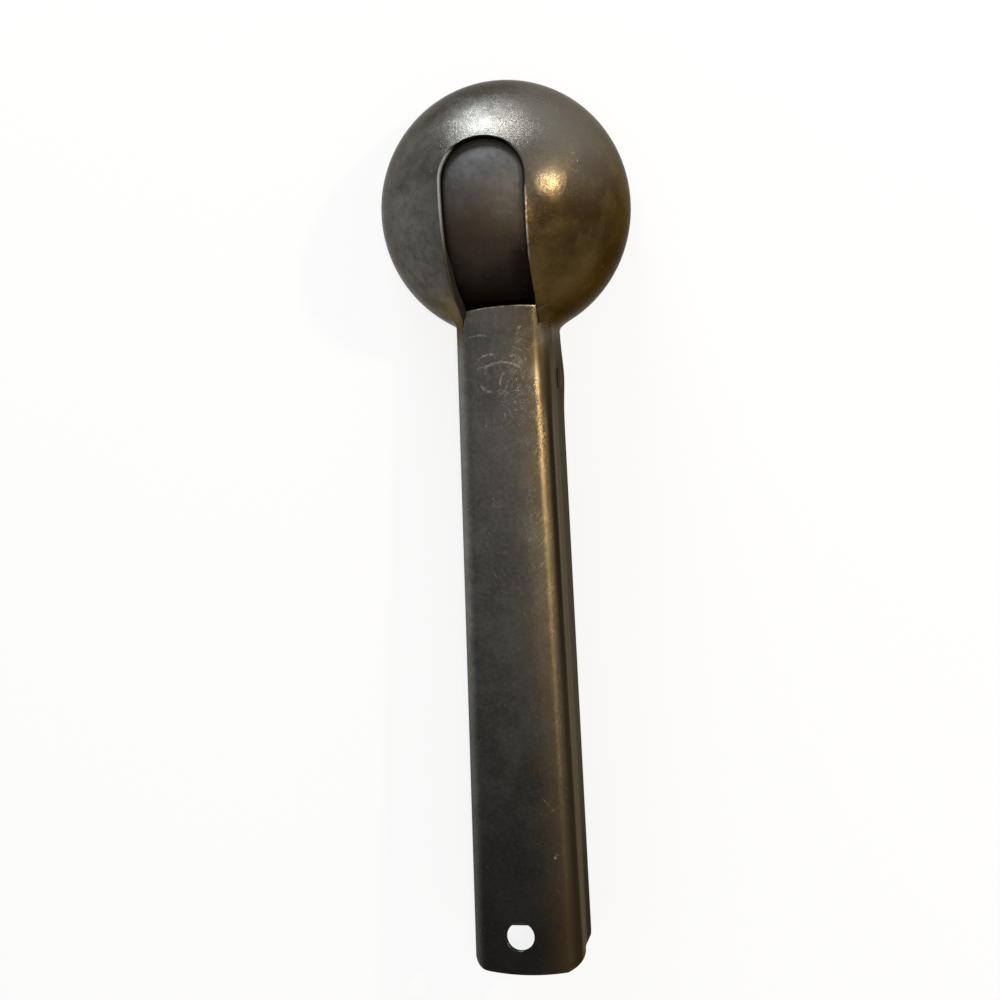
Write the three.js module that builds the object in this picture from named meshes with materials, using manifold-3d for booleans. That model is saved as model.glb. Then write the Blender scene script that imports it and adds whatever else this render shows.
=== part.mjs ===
// Ice cream scoop: a pressed bowl and channel handle, with a squeeze lever that tips an ejector blade.
import * as THREE from "three";
import { mergeVertices } from "three/addons/utils/BufferGeometryUtils.js";
import Module from "manifold-3d";

const wasm = await Module();
wasm.setup();

// Millimetres. The bowl's centre lies in its rim plane, the dome is up and the handle runs toward -Y.
const bowlRadius = 28.6;
const bowlStretch = 1.02;
const sheet = 1.2;
const handleReach = 172.6;
const webHeight = 14.4;
const handleRise = 3.4;
const neckWidth = 21.6;
const rearWidth = 25.8;
const bendRadius = 3.8;
const neckBlend = 3;
const flangeDepthRear = 11.8;
const flangeSlant = 3;
const endSag = 1.4;
const endCorner = 2.8;
const hangHoleRadius = 3.2;
const hangHoleInset = 8.8;
const hangHoleOffset = -1.6;

// Window in the dome and the web's tab below it.
const windowHalfWidth = 9.5;
const windowFootHalfWidth = 8.9;
const windowArchCentre = 6.3;
const tabReach = 3;
const tabHalfWidth = 8.5;

// Ejector blade.
const bladeSheet = 1;
const bladeOverlap = 1.6;
const bladeTangHalfWidth = 7.2;
const bladeNeckHalfWidth = 9;
const tangLength = 5.8;

// Squeeze lever and its pivot.
const leverSheet = 1.2;
const leverBend = 2.4;
const leverLift = 0.5;
const leverStandBack = 4.5;
const earHeight = 12;
const leverRearHeight = 6.2;
const pivotBehindBowl = 9.33;
const pivotHeight = 5.2;
const pinRadius = 1.6;
const pinHeadRadius = 2.4;
const pinHeadHeight = 0.4;

// Return spring and rivets.
const wireRadius = 0.6;
const coilPitch = 1.8;
const coilTurns = 4;
const legReach = 14;
const rivetRadius = 1;
const rivetHeadRadius = 1.9;
const rivetHeadHeight = 0.9;
const rivetTailHeight = 0.3;
const rivetSpread = 4.5;

// Clearances.
const bladeGap = 0.5;
const sideGap = 0.4;
const holeGap = 0.15;
const headGap = 0.1;
const tangGap = 0.3;
const coilGap = 0.4;
const legGap = 0.2;

// Places that follow from the sizes.
const rise = Math.tan(THREE.MathUtils.degToRad(handleRise));
const bowlReach = bowlRadius * bowlStretch;
const creaseY = -bowlStretch * Math.sqrt(bowlRadius ** 2 - webHeight ** 2);
const pivotY = -(bowlReach + pivotBehindBowl);
const webTop = (y) => webHeight + rise * (creaseY - y);
const share = (y) => (creaseY - y) / (handleReach + creaseY);
const halfWidth = (y) => (neckWidth + (rearWidth - neckWidth) * share(y)) / 2;
const smooth = (t) => {
  const u = Math.min(Math.max(t, 0), 1);
  return u * u * (3 - 2 * u);
};

// Larger of two lengths, with a rounded inner corner as wide as the blend.
function blendedMax(a, b, blend) {
  const near = Math.max(blend - Math.abs(a - b), 0) / blend;
  return Math.max(a, b) + (near * near * blend) / 4;
}

// Evenly spaced numbers from a to b.
function steps(a, b, count) {
  return Array.from({ length: count + 1 }, (_, i) => a + ((b - a) * i) / count);
}

// Closed solid of a geometry.
function solid(geometry) {
  const plain = geometry.index ? geometry.toNonIndexed() : geometry.clone();
  plain.deleteAttribute("normal");
  plain.deleteAttribute("uv");
  const merged = mergeVertices(plain, 1e-4);
  const index = merged.index.array;
  const kept = [];
  for (let i = 0; i < index.length; i += 3) {
    const [a, b, c] = index.slice(i, i + 3);
    if (a !== b && b !== c && a !== c) kept.push(a, b, c);
  }
  const made = new wasm.Mesh({
    numProp: 3,
    vertProperties: merged.attributes.position.array,
    triVerts: new Uint32Array(kept),
  });
  return new wasm.Manifold(made);
}

// Mesh of a solid, with its own material.
function meshOf(name, body, colour) {
  const found = body.getMesh();
  const geometry = new THREE.BufferGeometry();
  geometry.setAttribute("position", new THREE.BufferAttribute(found.vertProperties, 3));
  geometry.setIndex(new THREE.BufferAttribute(found.triVerts, 1));
  geometry.computeVertexNormals();
  const material = new THREE.MeshStandardMaterial({ color: colour, metalness: 0.9, roughness: 0.45 });
  const mesh = new THREE.Mesh(geometry, material);
  mesh.name = name;
  return mesh;
}

// Thick sheet between two grids of points that share their rows and columns.
function thickSheet(outer, inner) {
  const at = [];
  const face = (a, b, c) => at.push(...a, ...b, ...c);
  const quad = (a, b, c, d) => {
    face(a, b, c);
    face(a, c, d);
  };
  const rows = outer.length - 1;
  const columns = outer[0].length - 1;
  for (let i = 0; i < rows; i += 1) {
    for (let j = 0; j < columns; j += 1) {
      quad(outer[i][j], outer[i][j + 1], outer[i + 1][j + 1], outer[i + 1][j]);
      quad(inner[i][j], inner[i + 1][j], inner[i + 1][j + 1], inner[i][j + 1]);
    }
    quad(outer[i][0], outer[i + 1][0], inner[i + 1][0], inner[i][0]);
    quad(outer[i + 1][columns], outer[i][columns], inner[i][columns], inner[i + 1][columns]);
  }
  for (let j = 0; j < columns; j += 1) {
    quad(outer[0][j + 1], outer[0][j], inner[0][j], inner[0][j + 1]);
    quad(outer[rows][j], outer[rows][j + 1], inner[rows][j + 1], inner[rows][j]);
  }
  const geometry = new THREE.BufferGeometry();
  geometry.setAttribute("position", new THREE.Float32BufferAttribute(at, 3));
  return solid(geometry);
}

// Prism of an outline in X and Y, from one height to another.
function prism(outline, from, to) {
  const shape = new THREE.Shape(outline.map(([x, y]) => new THREE.Vector2(x, y)));
  const geometry = new THREE.ExtrudeGeometry(shape, { depth: to - from, bevelEnabled: false });
  return solid(geometry.translate(0, 0, from));
}

// Prism of an outline in Y and Z, across the whole width.
function crossPrism(outline, reach) {
  const turned = new THREE.Matrix4().makeBasis(
    new THREE.Vector3(0, 1, 0),
    new THREE.Vector3(0, 0, 1),
    new THREE.Vector3(1, 0, 0),
  );
  const shape = new THREE.Shape(outline.map(([y, z]) => new THREE.Vector2(y, z)));
  const geometry = new THREE.ExtrudeGeometry(shape, { depth: 2 * reach, bevelEnabled: false });
  return solid(geometry.translate(0, 0, -reach).applyMatrix4(turned));
}

// Round bar across X at a place in Y and Z.
function crossBar(radius, reach, y, z) {
  const geometry = new THREE.CylinderGeometry(radius, radius, 2 * reach, 24);
  return solid(geometry.rotateZ(Math.PI / 2).translate(0, y, z));
}

// Upright round bar.
function upright(radius, x, y, from, to) {
  const geometry = new THREE.CylinderGeometry(radius, radius, to - from, 20);
  return solid(geometry.rotateX(Math.PI / 2).translate(x, y, (from + to) / 2));
}

// Channel section from the right free edge over the web to the left one, as pairs of X and Z.
function channelSection(half, top, radius) {
  const right = steps(0, top - radius, 6).map((z) => [half, z]);
  const arc = steps(0, Math.PI / 2, 5).slice(1);
  arc.forEach((a) => {
    right.push([half - radius + radius * Math.cos(a), top - radius + radius * Math.sin(a)]);
  });
  const web = steps(half - radius, 0, 4).slice(1);
  web.forEach((x) => right.push([x, top]));
  const left = right.slice(0, -1).reverse();
  return right.concat(left.map(([x, z]) => [-x, z]));
}

// One ring of the bowl and handle surface at a distance inside the outer face.
function bodyRing(y, inset, blend) {
  const profileY = Math.min(y, creaseY);
  const section = channelSection(halfWidth(profileY) - inset, webTop(profileY) - inset, bendRadius - inset);
  const ball = Math.sqrt(Math.max((bowlRadius - inset) ** 2 - (y / bowlStretch) ** 2, 0));
  return section.map(([x, z]) => {
    const channel = Math.hypot(x, z);
    const reach = y < 0 ? blendedMax(channel, ball, blend) : ball;
    return [(x / channel) * reach, y, (z / channel) * reach];
  });
}

function scoopBody() {
  const bowlTurns = steps(0, THREE.MathUtils.degToRad(132), 21);
  const bowlEnd = bowlReach * Math.cos(bowlTurns.at(-1));
  const neckEnd = -bowlReach - neckBlend;
  const neck = steps(bowlEnd, neckEnd, 14).slice(1);
  const shank = steps(neckEnd, -handleReach - sheet, 8).slice(1);
  const stations = bowlTurns.map((a) => bowlReach * Math.cos(a)).concat(neck, shank);
  const innerBlend = neckBlend + sheet;
  const outer = stations.map((y) => bodyRing(y, 0, neckBlend));
  const inner = stations.map((y) => {
    const inBowl = 1 - smooth((bowlEnd - y) / (bowlEnd - neckEnd));
    return bodyRing(y * (1 - (inBowl * sheet) / bowlRadius), sheet, innerBlend);
  });
  let body = thickSheet(outer, inner);

  const over = 2 * bowlRadius;
  const arch = steps(0, Math.PI, 20).map((a) => [
    windowHalfWidth * Math.cos(a),
    windowArchCentre + windowHalfWidth * Math.sin(a),
  ]);
  const foot = creaseY - neckBlend / 4;
  const opening = [...arch, [-windowFootHalfWidth, foot], [windowFootHalfWidth, foot]];
  body = body.subtract(prism(opening, webTop(foot), over));

  const tabFront = creaseY + tabReach;
  const tabRear = creaseY - neckBlend;
  const tabSide = [
    [tabRear, webTop(tabRear) - sheet],
    [tabFront, webTop(tabFront) - sheet],
    [tabFront, webTop(tabFront)],
    [tabRear, webTop(tabRear)],
  ];
  body = body.add(crossPrism(tabSide, tabHalfWidth));

  const slantFoot = -handleReach + endCorner + flangeSlant;
  const slantTop = -handleReach + endCorner;
  const trim = [
    [neckEnd, -sheet],
    [neckEnd, 0],
    [slantFoot, webTop(slantFoot) - flangeDepthRear],
    [slantTop, webTop(slantTop) - bendRadius],
    [-handleReach - over, webTop(slantTop) - bendRadius],
    [-handleReach - over, -sheet],
  ];
  body = body.subtract(crossPrism(trim, over));

  const rearHalf = rearWidth / 2;
  const rearEdge = steps(rearHalf, -rearHalf, 28).map((x) => {
    const intoCorner = Math.max(Math.abs(x) - (rearHalf - endCorner), 0) / endCorner;
    const rounding = endCorner * (1 - Math.sqrt(Math.max(1 - intoCorner ** 2, 0)));
    return [x, -handleReach + endSag * (x / rearHalf) ** 2 + rounding];
  });
  const behind = [[-over, rearEdge.at(-1)[1]], [-over, -handleReach - over]];
  behind.push([over, -handleReach - over], [over, rearEdge[0][1]]);
  body = body.subtract(prism([...rearEdge, ...behind].reverse(), 0, over));

  const holeY = -handleReach + hangHoleInset;
  body = body.subtract(upright(hangHoleRadius, hangHoleOffset, holeY, webHeight, over));
  return body.subtract(crossBar(pinRadius + holeGap, over, pivotY, pivotHeight));
}

// Ejector blade: a dished strip under the window that turns down the neck to a flat tang.
const bladeRadius = bowlRadius - sheet - bladeGap;
const bladeHalfWidth = windowHalfWidth + bladeOverlap;
const leverFloor = leverLift + leverSheet;
const tangTop = leverFloor + tangGap + bladeSheet;
const tangRear = pivotY + pinRadius + 2 * wireRadius + coilGap + 2 * tangGap;
const tangFront = tangRear + tangLength;
const bladeLeaves = -bowlRadius * 0.21;
const tailPath = new THREE.CatmullRomCurve3(
  [
    [0, bladeRadius],
    [bladeLeaves, Math.sqrt(bladeRadius ** 2 - bladeLeaves ** 2)],
    [-bowlRadius * 0.46, webHeight + 7.9],
    [creaseY + tabReach + 1.7, webHeight - 0.8],
    [creaseY - 0.2, (webHeight + tangTop) / 2 - 2.4],
    [tangFront + 1.3, tangTop + 0.6],
    [tangFront, tangTop],
    [tangRear, tangTop],
  ].map(([y, z]) => new THREE.Vector3(0, y, z)),
  false,
  "centripetal",
);
const tailPoints = tailPath.getPoints(400);

// Height of the blade's upper face on its middle line.
function bladeMiddle(y) {
  if (y >= bladeLeaves) return Math.sqrt(bladeRadius ** 2 - y * y);
  if (y <= tangFront) return tangTop;
  const next = tailPoints.findIndex((p) => p.y <= y);
  const a = tailPoints[next - 1];
  const b = tailPoints[next];
  return a.z + ((b.z - a.z) * (a.y - y)) / (a.y - b.y);
}

// Point of the blade's upper face.
function bladePoint(x, y) {
  const flat = smooth((bladeLeaves - y) / (bladeLeaves - tangFront));
  const bend = (1 - flat) / Math.sqrt(bladeRadius ** 2 - Math.max(y, bladeLeaves) ** 2);
  const drop = bend > 1e-6 ? 1 / bend - Math.sqrt(1 / bend ** 2 - x * x) : 0;
  return new THREE.Vector3(x, y, bladeMiddle(y) - drop);
}

// Half the blade's width at a place along it.
function bladeWidth(y) {
  if (y > windowArchCentre) return Math.sqrt(bladeHalfWidth ** 2 - (y - windowArchCentre) ** 2);
  const mid = creaseY + tabReach;
  if (y > mid) {
    const t = smooth((windowArchCentre - y) / (windowArchCentre - mid));
    return bladeHalfWidth + (bladeNeckHalfWidth - bladeHalfWidth) * t;
  }
  const t = smooth((mid - y) / (mid - tangFront - 1));
  return bladeNeckHalfWidth + (bladeTangHalfWidth - bladeNeckHalfWidth) * t;
}

function ejectorBlade() {
  const archRows = steps(Math.PI / 2, 0, 6).map((a) => windowArchCentre + bladeHalfWidth * Math.sin(a));
  const bodyRows = steps(windowArchCentre, bladeLeaves, 4).slice(1);
  const tailRows = steps(bladeLeaves, tangFront, 16).slice(1);
  const rows = [...archRows, ...bodyRows, ...tailRows, tangRear];
  const across = steps(1, -1, 12);
  const small = 0.01;
  const upper = [];
  const lower = [];
  rows.forEach((y, i) => {
    const half = i === 0 ? 0 : bladeWidth(y);
    const above = across.map((u) => bladePoint(u * half, y));
    const below = across.map((u, j) => {
      const here = above[j];
      const side = bladePoint(here.x + small, y).sub(bladePoint(here.x - small, y));
      const along = bladePoint(here.x, y + small).sub(bladePoint(here.x, y - small));
      return here.clone().addScaledVector(side.cross(along).normalize(), -bladeSheet);
    });
    upper.push(above.map((p) => p.toArray()));
    lower.push(below.map((p) => p.toArray()));
  });
  const blade = thickSheet(upper, lower);
  return rivetPlaces().reduce(
    (left, [x, y]) => left.subtract(upright(rivetRadius + holeGap, x, y, 0, tangTop + bladeSheet)),
    blade,
  );
}

// Centres of the two rivets.
function rivetPlaces() {
  const y = (tangFront + tangRear) / 2;
  return [
    [-rivetSpread, y],
    [rivetSpread, y],
  ];
}

// Squeeze lever: a channel open toward the handle, with ears for the pin.
const leverFront = tangFront - tangGap;
const leverRear = -handleReach + leverStandBack;
const leverBottom = (y) => (leverLift * (y - leverRear)) / (leverFront - leverRear);
const leverHalf = (y) => halfWidth(y) - sheet - sideGap;

// Height of the lever's side walls.
function leverWallTop(y) {
  if (y > pivotY) {
    const t = (y - pivotY) / (leverFront - pivotY);
    return earHeight * Math.sqrt(1 - 0.8 * t * t);
  }
  return earHeight + ((leverRearHeight - earHeight) * (pivotY - y)) / (pivotY - leverRear);
}

// One ring of the lever, at a distance inside its outer face.
function leverRing(y, inset, slant) {
  const half = leverHalf(y) - inset;
  const floor = leverBottom(y) + inset;
  const radius = leverBend - inset;
  const wallTop = leverWallTop(y);
  const right = steps(wallTop, floor + radius, 3).map((z) => [half, z]);
  steps(0, Math.PI / 2, 4)
    .slice(1)
    .forEach((a) => {
      right.push([half - radius + radius * Math.cos(a), floor + radius - radius * Math.sin(a)]);
    });
  right.push([0, floor]);
  const left = right.slice(0, -1).reverse();
  const all = right.concat(left.map(([x, z]) => [-x, z]));
  return all.reverse().map(([x, z]) => [x, y - slant * (z - floor), z]);
}

function squeezeLever() {
  const ears = steps(leverFront, pivotY, 7);
  const grip = steps(pivotY, leverRear, 8).slice(1);
  const stations = [...ears, ...grip];
  const slant = (y) => (y === leverRear ? 0.25 : 0);
  const outer = stations.map((y) => leverRing(y, 0, slant(y)));
  const inner = stations.map((y) => leverRing(y, leverSheet, slant(y)));
  let lever = thickSheet(outer, inner);
  lever = lever.subtract(crossBar(pinRadius + holeGap, bowlRadius, pivotY, pivotHeight));
  return rivetPlaces().reduce(
    (left, [x, y]) => left.subtract(upright(rivetRadius + holeGap, x, y, -sheet, leverFloor + tangGap)),
    lever,
  );
}

// Turned piece from a profile of radius and height.
function turned(profile) {
  const points = profile.map(([r, h]) => new THREE.Vector2(r, h));
  return new THREE.LatheGeometry(points, 24);
}

function pivotPin() {
  const face = halfWidth(pivotY) + headGap;
  const crown = pinHeadHeight / 3;
  const half = [
    [pinRadius, face],
    [pinHeadRadius, face],
    [pinHeadRadius, face + crown],
    [pinHeadRadius * 0.7, face + pinHeadHeight * 0.8],
    [0, face + pinHeadHeight],
  ];
  const other = half.map(([r, h]) => [r, -h]).reverse();
  return solid(turned([...other, ...half]).rotateZ(-Math.PI / 2).translate(0, pivotY, pivotHeight));
}

function bladeRivet([x, y]) {
  const under = leverBottom(y) - headGap;
  const seat = tangTop + headGap;
  const profile = [
    [0, under - rivetTailHeight],
    [rivetHeadRadius * 0.8, under - rivetTailHeight],
    [rivetHeadRadius * 0.8, under],
    [rivetRadius, under],
    [rivetRadius, seat],
    [rivetHeadRadius, seat],
  ];
  steps(0, Math.PI / 2, 4)
    .slice(1)
    .forEach((a) => {
      profile.push([rivetHeadRadius * Math.cos(a), seat + rivetHeadHeight * Math.sin(a)]);
    });
  profile.at(-1)[0] = 0;
  return solid(turned(profile).rotateX(Math.PI / 2).translate(x, y, 0));
}

// Middle line of the return spring: a leg up to the web, the coil round the pin, a leg down to the lever.
function springLine() {
  const coil = pinRadius + coilGap + wireRadius;
  const farY = pivotY - legReach;
  const upZ = webTop(farY) - sheet - legGap - wireRadius;
  const downZ = leverFloor + legGap + wireRadius;
  const tangent = (height, distance) => {
    const slope = Math.atan2(height, distance);
    return slope - Math.asin(coil / Math.hypot(height, distance));
  };
  const upTilt = tangent(upZ - pivotHeight, legReach);
  const downTilt = tangent(pivotHeight - downZ, legReach);
  const first = upTilt;
  const last = 2 * Math.PI * coilTurns + Math.PI - downTilt;
  const length = (coilPitch * (last - first)) / (2 * Math.PI);
  const coilPoints = steps(first, last, Math.round(((last - first) * 8) / (2 * Math.PI))).map((a) => [
    -length / 2 + (coilPitch * (a - first)) / (2 * Math.PI),
    pivotY + coil * Math.sin(a),
    pivotHeight + coil * Math.cos(a),
  ]);
  return [[-length / 2, farY, upZ], ...coilPoints, [length / 2, farY, downZ]];
}

function returnSpring() {
  const line = springLine().map((p) => new THREE.Vector3(...p));
  const sides = 5;
  let across = new THREE.Vector3(1, 0, 0);
  const rings = line.map((p, i) => {
    const before = line[Math.max(i - 1, 0)];
    const after = line[Math.min(i + 1, line.length - 1)];
    const along = after.clone().sub(before).normalize();
    across = across.addScaledVector(along, -across.dot(along)).normalize().clone();
    const up = along.clone().cross(across);
    return steps(0, 2 * Math.PI, sides)
      .slice(0, -1)
      .map((a) =>
        p
          .clone()
          .addScaledVector(across, wireRadius * Math.cos(a))
          .addScaledVector(up, wireRadius * Math.sin(a)),
      );
  });
  const at = [];
  const face = (...corners) => corners.forEach((c) => at.push(c.x, c.y, c.z));
  rings.slice(1).forEach((ring, i) => {
    for (let k = 0; k < sides; k += 1) {
      const n = (k + 1) % sides;
      face(rings[i][k], rings[i][n], ring[n]);
      face(rings[i][k], ring[n], ring[k]);
    }
  });
  for (let k = 1; k < sides - 1; k += 1) {
    face(rings[0][0], rings[0][k + 1], rings[0][k]);
    face(rings.at(-1)[0], rings.at(-1)[k], rings.at(-1)[k + 1]);
  }
  const geometry = new THREE.BufferGeometry();
  geometry.setAttribute("position", new THREE.Float32BufferAttribute(at, 3));
  return solid(geometry);
}

// Least gap between parts of the spring that are over half a turn apart, measured on points.
function springGap() {
  const line = springLine().map((p) => new THREE.Vector3(...p));
  let least = Infinity;
  line.forEach((p, i) => {
    line.slice(i + 5).forEach((q) => {
      least = Math.min(least, p.distanceTo(q) - 2 * wireRadius);
    });
  });
  return least;
}
console.log("least gap of the spring to itself, mm:", springGap().toFixed(2));

const scoop = new THREE.Group();
scoop.name = "ice_cream_scoop";
const [leftRivet, rightRivet] = rivetPlaces().map(bladeRivet);
scoop.add(meshOf("scoop_body", scoopBody(), 0x6b675c));
scoop.add(meshOf("ejector_blade", ejectorBlade(), 0x5e5a50));
scoop.add(meshOf("squeeze_lever", squeezeLever(), 0x5a554a));
scoop.add(meshOf("pivot_pin", pivotPin(), 0x7d7a72));
scoop.add(meshOf("return_spring", returnSpring(), 0x55524c));
scoop.add(meshOf("blade_rivet_left", leftRivet, 0x807c73));
scoop.add(meshOf("blade_rivet_right", rightRivet, 0x807c73));
scoop.position.set(0, (handleReach - bowlReach) / 2, 0);

const part = new THREE.Group();
part.add(scoop);
export default part;
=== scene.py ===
import math
from collections import namedtuple

import bmesh
import bpy
import numpy as np
from mathutils import Matrix, Vector
from mathutils.geometry import delaunay_2d_cdt
from mathutils.kdtree import KDTree


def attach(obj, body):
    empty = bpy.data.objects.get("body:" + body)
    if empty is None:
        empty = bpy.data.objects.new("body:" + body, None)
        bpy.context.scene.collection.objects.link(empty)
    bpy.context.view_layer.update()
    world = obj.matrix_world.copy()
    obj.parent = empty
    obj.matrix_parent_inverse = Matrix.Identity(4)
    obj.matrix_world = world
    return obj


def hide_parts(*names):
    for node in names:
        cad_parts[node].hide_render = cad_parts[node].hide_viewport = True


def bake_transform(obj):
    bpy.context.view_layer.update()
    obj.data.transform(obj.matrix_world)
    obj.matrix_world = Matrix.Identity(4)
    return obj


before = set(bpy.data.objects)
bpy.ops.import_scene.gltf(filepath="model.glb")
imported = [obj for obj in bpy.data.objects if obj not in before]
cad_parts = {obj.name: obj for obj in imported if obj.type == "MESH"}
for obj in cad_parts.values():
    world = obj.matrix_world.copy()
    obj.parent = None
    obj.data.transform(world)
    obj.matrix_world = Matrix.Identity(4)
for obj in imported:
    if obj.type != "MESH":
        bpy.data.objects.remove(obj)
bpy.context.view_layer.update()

# Sizes in millimetres, from the bowl's centre in its rim plane: dome up, handle toward -Y.
MM = 0.001
BOWL_RADIUS = 28.6
BOWL_STRETCH = 1.02
SHEET = 1.2
HANDLE_REACH = 172.6
WEB_HEIGHT = 14.4
HANDLE_RISE = 3.4
NECK_WIDTH = 21.6
REAR_WIDTH = 25.8
BEND_RADIUS = 3.8
NECK_BLEND = 3.0
WEB_CROWN = 0.0032
CROWN_FADE = 4.0
FLANGE_DEPTH_REAR = 11.8
FLANGE_SLANT = 3.0
FLANGE_CORNER = 1.4
PIN_BULGE = 0.45
PIN_BULGE_REACH = 5.5
PIN_BULGE_TOP = 7.8
END_SAG = 1.4
END_CORNER = 2.8
WORN_CORNER = 5.0
WORN_CORNER_ROUND = 0.6
WORN_CORNER_REACH = 6.2
WORN_SLANT = 0.1
HANG_HOLE_RADIUS = 3.2
HANG_HOLE_INSET = 8.8
HANG_HOLE_OFFSET = -1.6
ARRIS = 0.26
HOLE_ARRIS = 0.4

# Window in the dome, the web's tab below it and the slits beside the tab.
WINDOW_HALF_WIDTH = 9.5
WINDOW_FOOT_HALF_WIDTH = 8.9
WINDOW_ARCH_CENTRE = 6.3
WINDOW_ARRIS = 0.16
WINDOW_LEFT_ARRIS = 0.4
WINDOW_ARCH_ARRIS = 0.2
WINDOW_LIP = 1.2
TAB_REACH = 3.0
TAB_HALF_WIDTH = 8.5
TAB_CORNER = 0.9
TAB_FRONT_BOW = 0.5
TAB_LIFT = 0.85
TAB_SKEW = 0.35
TAB_AHEAD = 2.5
TAB_BEHIND = 1.0
TAB_LIMIT = TAB_HALF_WIDTH + 0.13
SLIT_CLOSING = 3.0
SLIT_END_Y = -25.8
SLIT_END_WIDTH = 0.1

# Ejector blade.
BLADE_SHEET = 1.0
BLADE_GAP = 0.5
BLADE_OVERLAP = 1.6
BLADE_TANG_HALF_WIDTH = 7.2
BLADE_NECK_HALF_WIDTH = 9.0
TANG_LENGTH = 5.8
TANG_GAP = 0.3
BLADE_ARRIS = 0.25

# Squeeze lever, pin, spring and rivets.
LEVER_SHEET = 1.2
LEVER_BEND = 2.4
LEVER_LIFT = 0.5
LEVER_STAND_BACK = 4.2
LEVER_END_SLANT = 0.25
LEVER_SLANT_LENGTH = 16.2
LEVER_ARRIS = 0.28
EAR_HEIGHT = 12.0
EAR_ROUNDING = 0.8
LEVER_REAR_HEIGHT = 6.2
SIDE_GAP = 0.4
HOLE_GAP = 0.15
HEAD_GAP = 0.1
PIVOT_BEHIND_BOWL = 9.33
PIVOT_HEIGHT = 5.2
PIN_RADIUS = 1.6
PIN_HEAD_RADIUS = 2.4
PIN_HEAD_HEIGHT = 0.4
PIN_HEAD_EDGE = 0.16
PIN_HEAD_NECK = 0.02
WIRE_RADIUS = 0.6
COIL_PITCH = 1.8
COIL_TURNS = 4
COIL_GAP = 0.4
LEG_REACH = 14.0
LEG_GAP = 0.2
RIVET_RADIUS = 1.0
RIVET_HEAD_RADIUS = 1.9
RIVET_HEAD_HEIGHT = 0.9
RIVET_HEAD_EDGE = 0.2
RIVET_TAIL_RADIUS = 1.52
RIVET_TAIL_HEIGHT = 0.3
RIVET_SPREAD = 4.5

# Places that follow from the sizes.
RISE = math.tan(math.radians(HANDLE_RISE))
BOWL_REACH = BOWL_RADIUS * BOWL_STRETCH
BOWL_FRONT = BOWL_RADIUS * math.pi / 2
FRAME_SHIFT_Y = (HANDLE_REACH - BOWL_REACH) / 2
CREASE_Y = -BOWL_STRETCH * math.sqrt(BOWL_RADIUS**2 - WEB_HEIGHT**2)
PIVOT_Y = -(BOWL_REACH + PIVOT_BEHIND_BOWL)
NECK_END = -BOWL_REACH - NECK_BLEND
SLANT_FOOT = -HANDLE_REACH + END_CORNER + FLANGE_SLANT
SLANT_TOP = -HANDLE_REACH + END_CORNER
TAB_FRONT = CREASE_Y + TAB_REACH
WINDOW_FOOT_Y = CREASE_Y - NECK_BLEND / 4

# Fineness of the meshes: numbers of points and steps in millimetres.
WEB_STEPS = 24
BEND_STEPS = 26
FLANGE_STEPS = 30
RIM_INDEX = WEB_STEPS + BEND_STEPS + FLANGE_STEPS - 1
BELOW_RIM = 3.0
RIM_POINTS = 600
SIDE_POINTS = 3000
END_POINTS = 400
CORNER_POINTS = 12
ARCH_POINTS = 80
WINDOW_SIDE_POINTS = 200
TAB_SIDE_POINTS = 30
TAB_FRONT_POINTS = 40
SMALL_TURN_POINTS = 9
HOLE_POINTS = 240
ARRIS_STEPS = 4
OUTLINE_STEP = 0.6
WINDOW_STEP = 0.3
HOLE_STEP = 0.35
BODY_GRID = 0.75
BLADE_STEP = 0.45
RIVET_HOLE_STEP = 0.3
BLADE_GRID = 0.6
GRID_CLEARANCE = 0.55
SLOPE_STEP = 0.02
TINY = 1e-9
CLOSE = 1e-6
MERGE_REACH = 1e-7


def ramp(value, start, end):
    """Soft step from 0 at one place to 1 at another."""
    share = np.clip((value - start) / (end - start), 0, 1)
    return share * share * (3 - 2 * share)


def web_top(y):
    """Height of the handle's web."""
    return WEB_HEIGHT + RISE * (CREASE_Y - y)


def half_width(y):
    """Half the handle's width."""
    share = (CREASE_Y - y) / (HANDLE_REACH + CREASE_Y)
    return (NECK_WIDTH + (REAR_WIDTH - NECK_WIDTH) * share) / 2


def blended_max(a, b, blend):
    """Larger of two lengths, with a rounded inner corner."""
    near = np.maximum(blend - np.abs(a - b), 0) / blend
    return np.maximum(a, b) + near * near * blend / 4


def to_frame(points):
    """Millimetres from the bowl's centre to metres in the part's frame."""
    return (np.asarray(points, float) + [0, FRAME_SHIFT_Y, 0]) * MM


# Handle and bowl surface, laid flat as s across it and t along it.
def channel_half(half, top):
    """Right half of the channel section from the web's middle to below the rim, one row for each station."""
    flat = half - BEND_RADIUS
    turn = np.linspace(0, math.pi / 2, BEND_STEPS + 1)[1:]
    fall = np.linspace(1, 0, FLANGE_STEPS + 1)[1:]
    web_x = np.outer(flat, np.linspace(0, 1, WEB_STEPS))
    bend_x = flat[:, None] + BEND_RADIUS * np.sin(turn)
    flange_x = np.repeat(half[:, None], FLANGE_STEPS + 1, 1)
    web_z = np.repeat(top[:, None], WEB_STEPS, 1)
    bend_z = (top - BEND_RADIUS)[:, None] + BEND_RADIUS * np.cos(turn)
    flange_z = np.outer(top - BEND_RADIUS, fall)
    below_z = np.full((len(half), 1), -BELOW_RIM)
    return np.hstack([web_x, bend_x, flange_x]), np.hstack([web_z, bend_z, flange_z, below_z])


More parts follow.
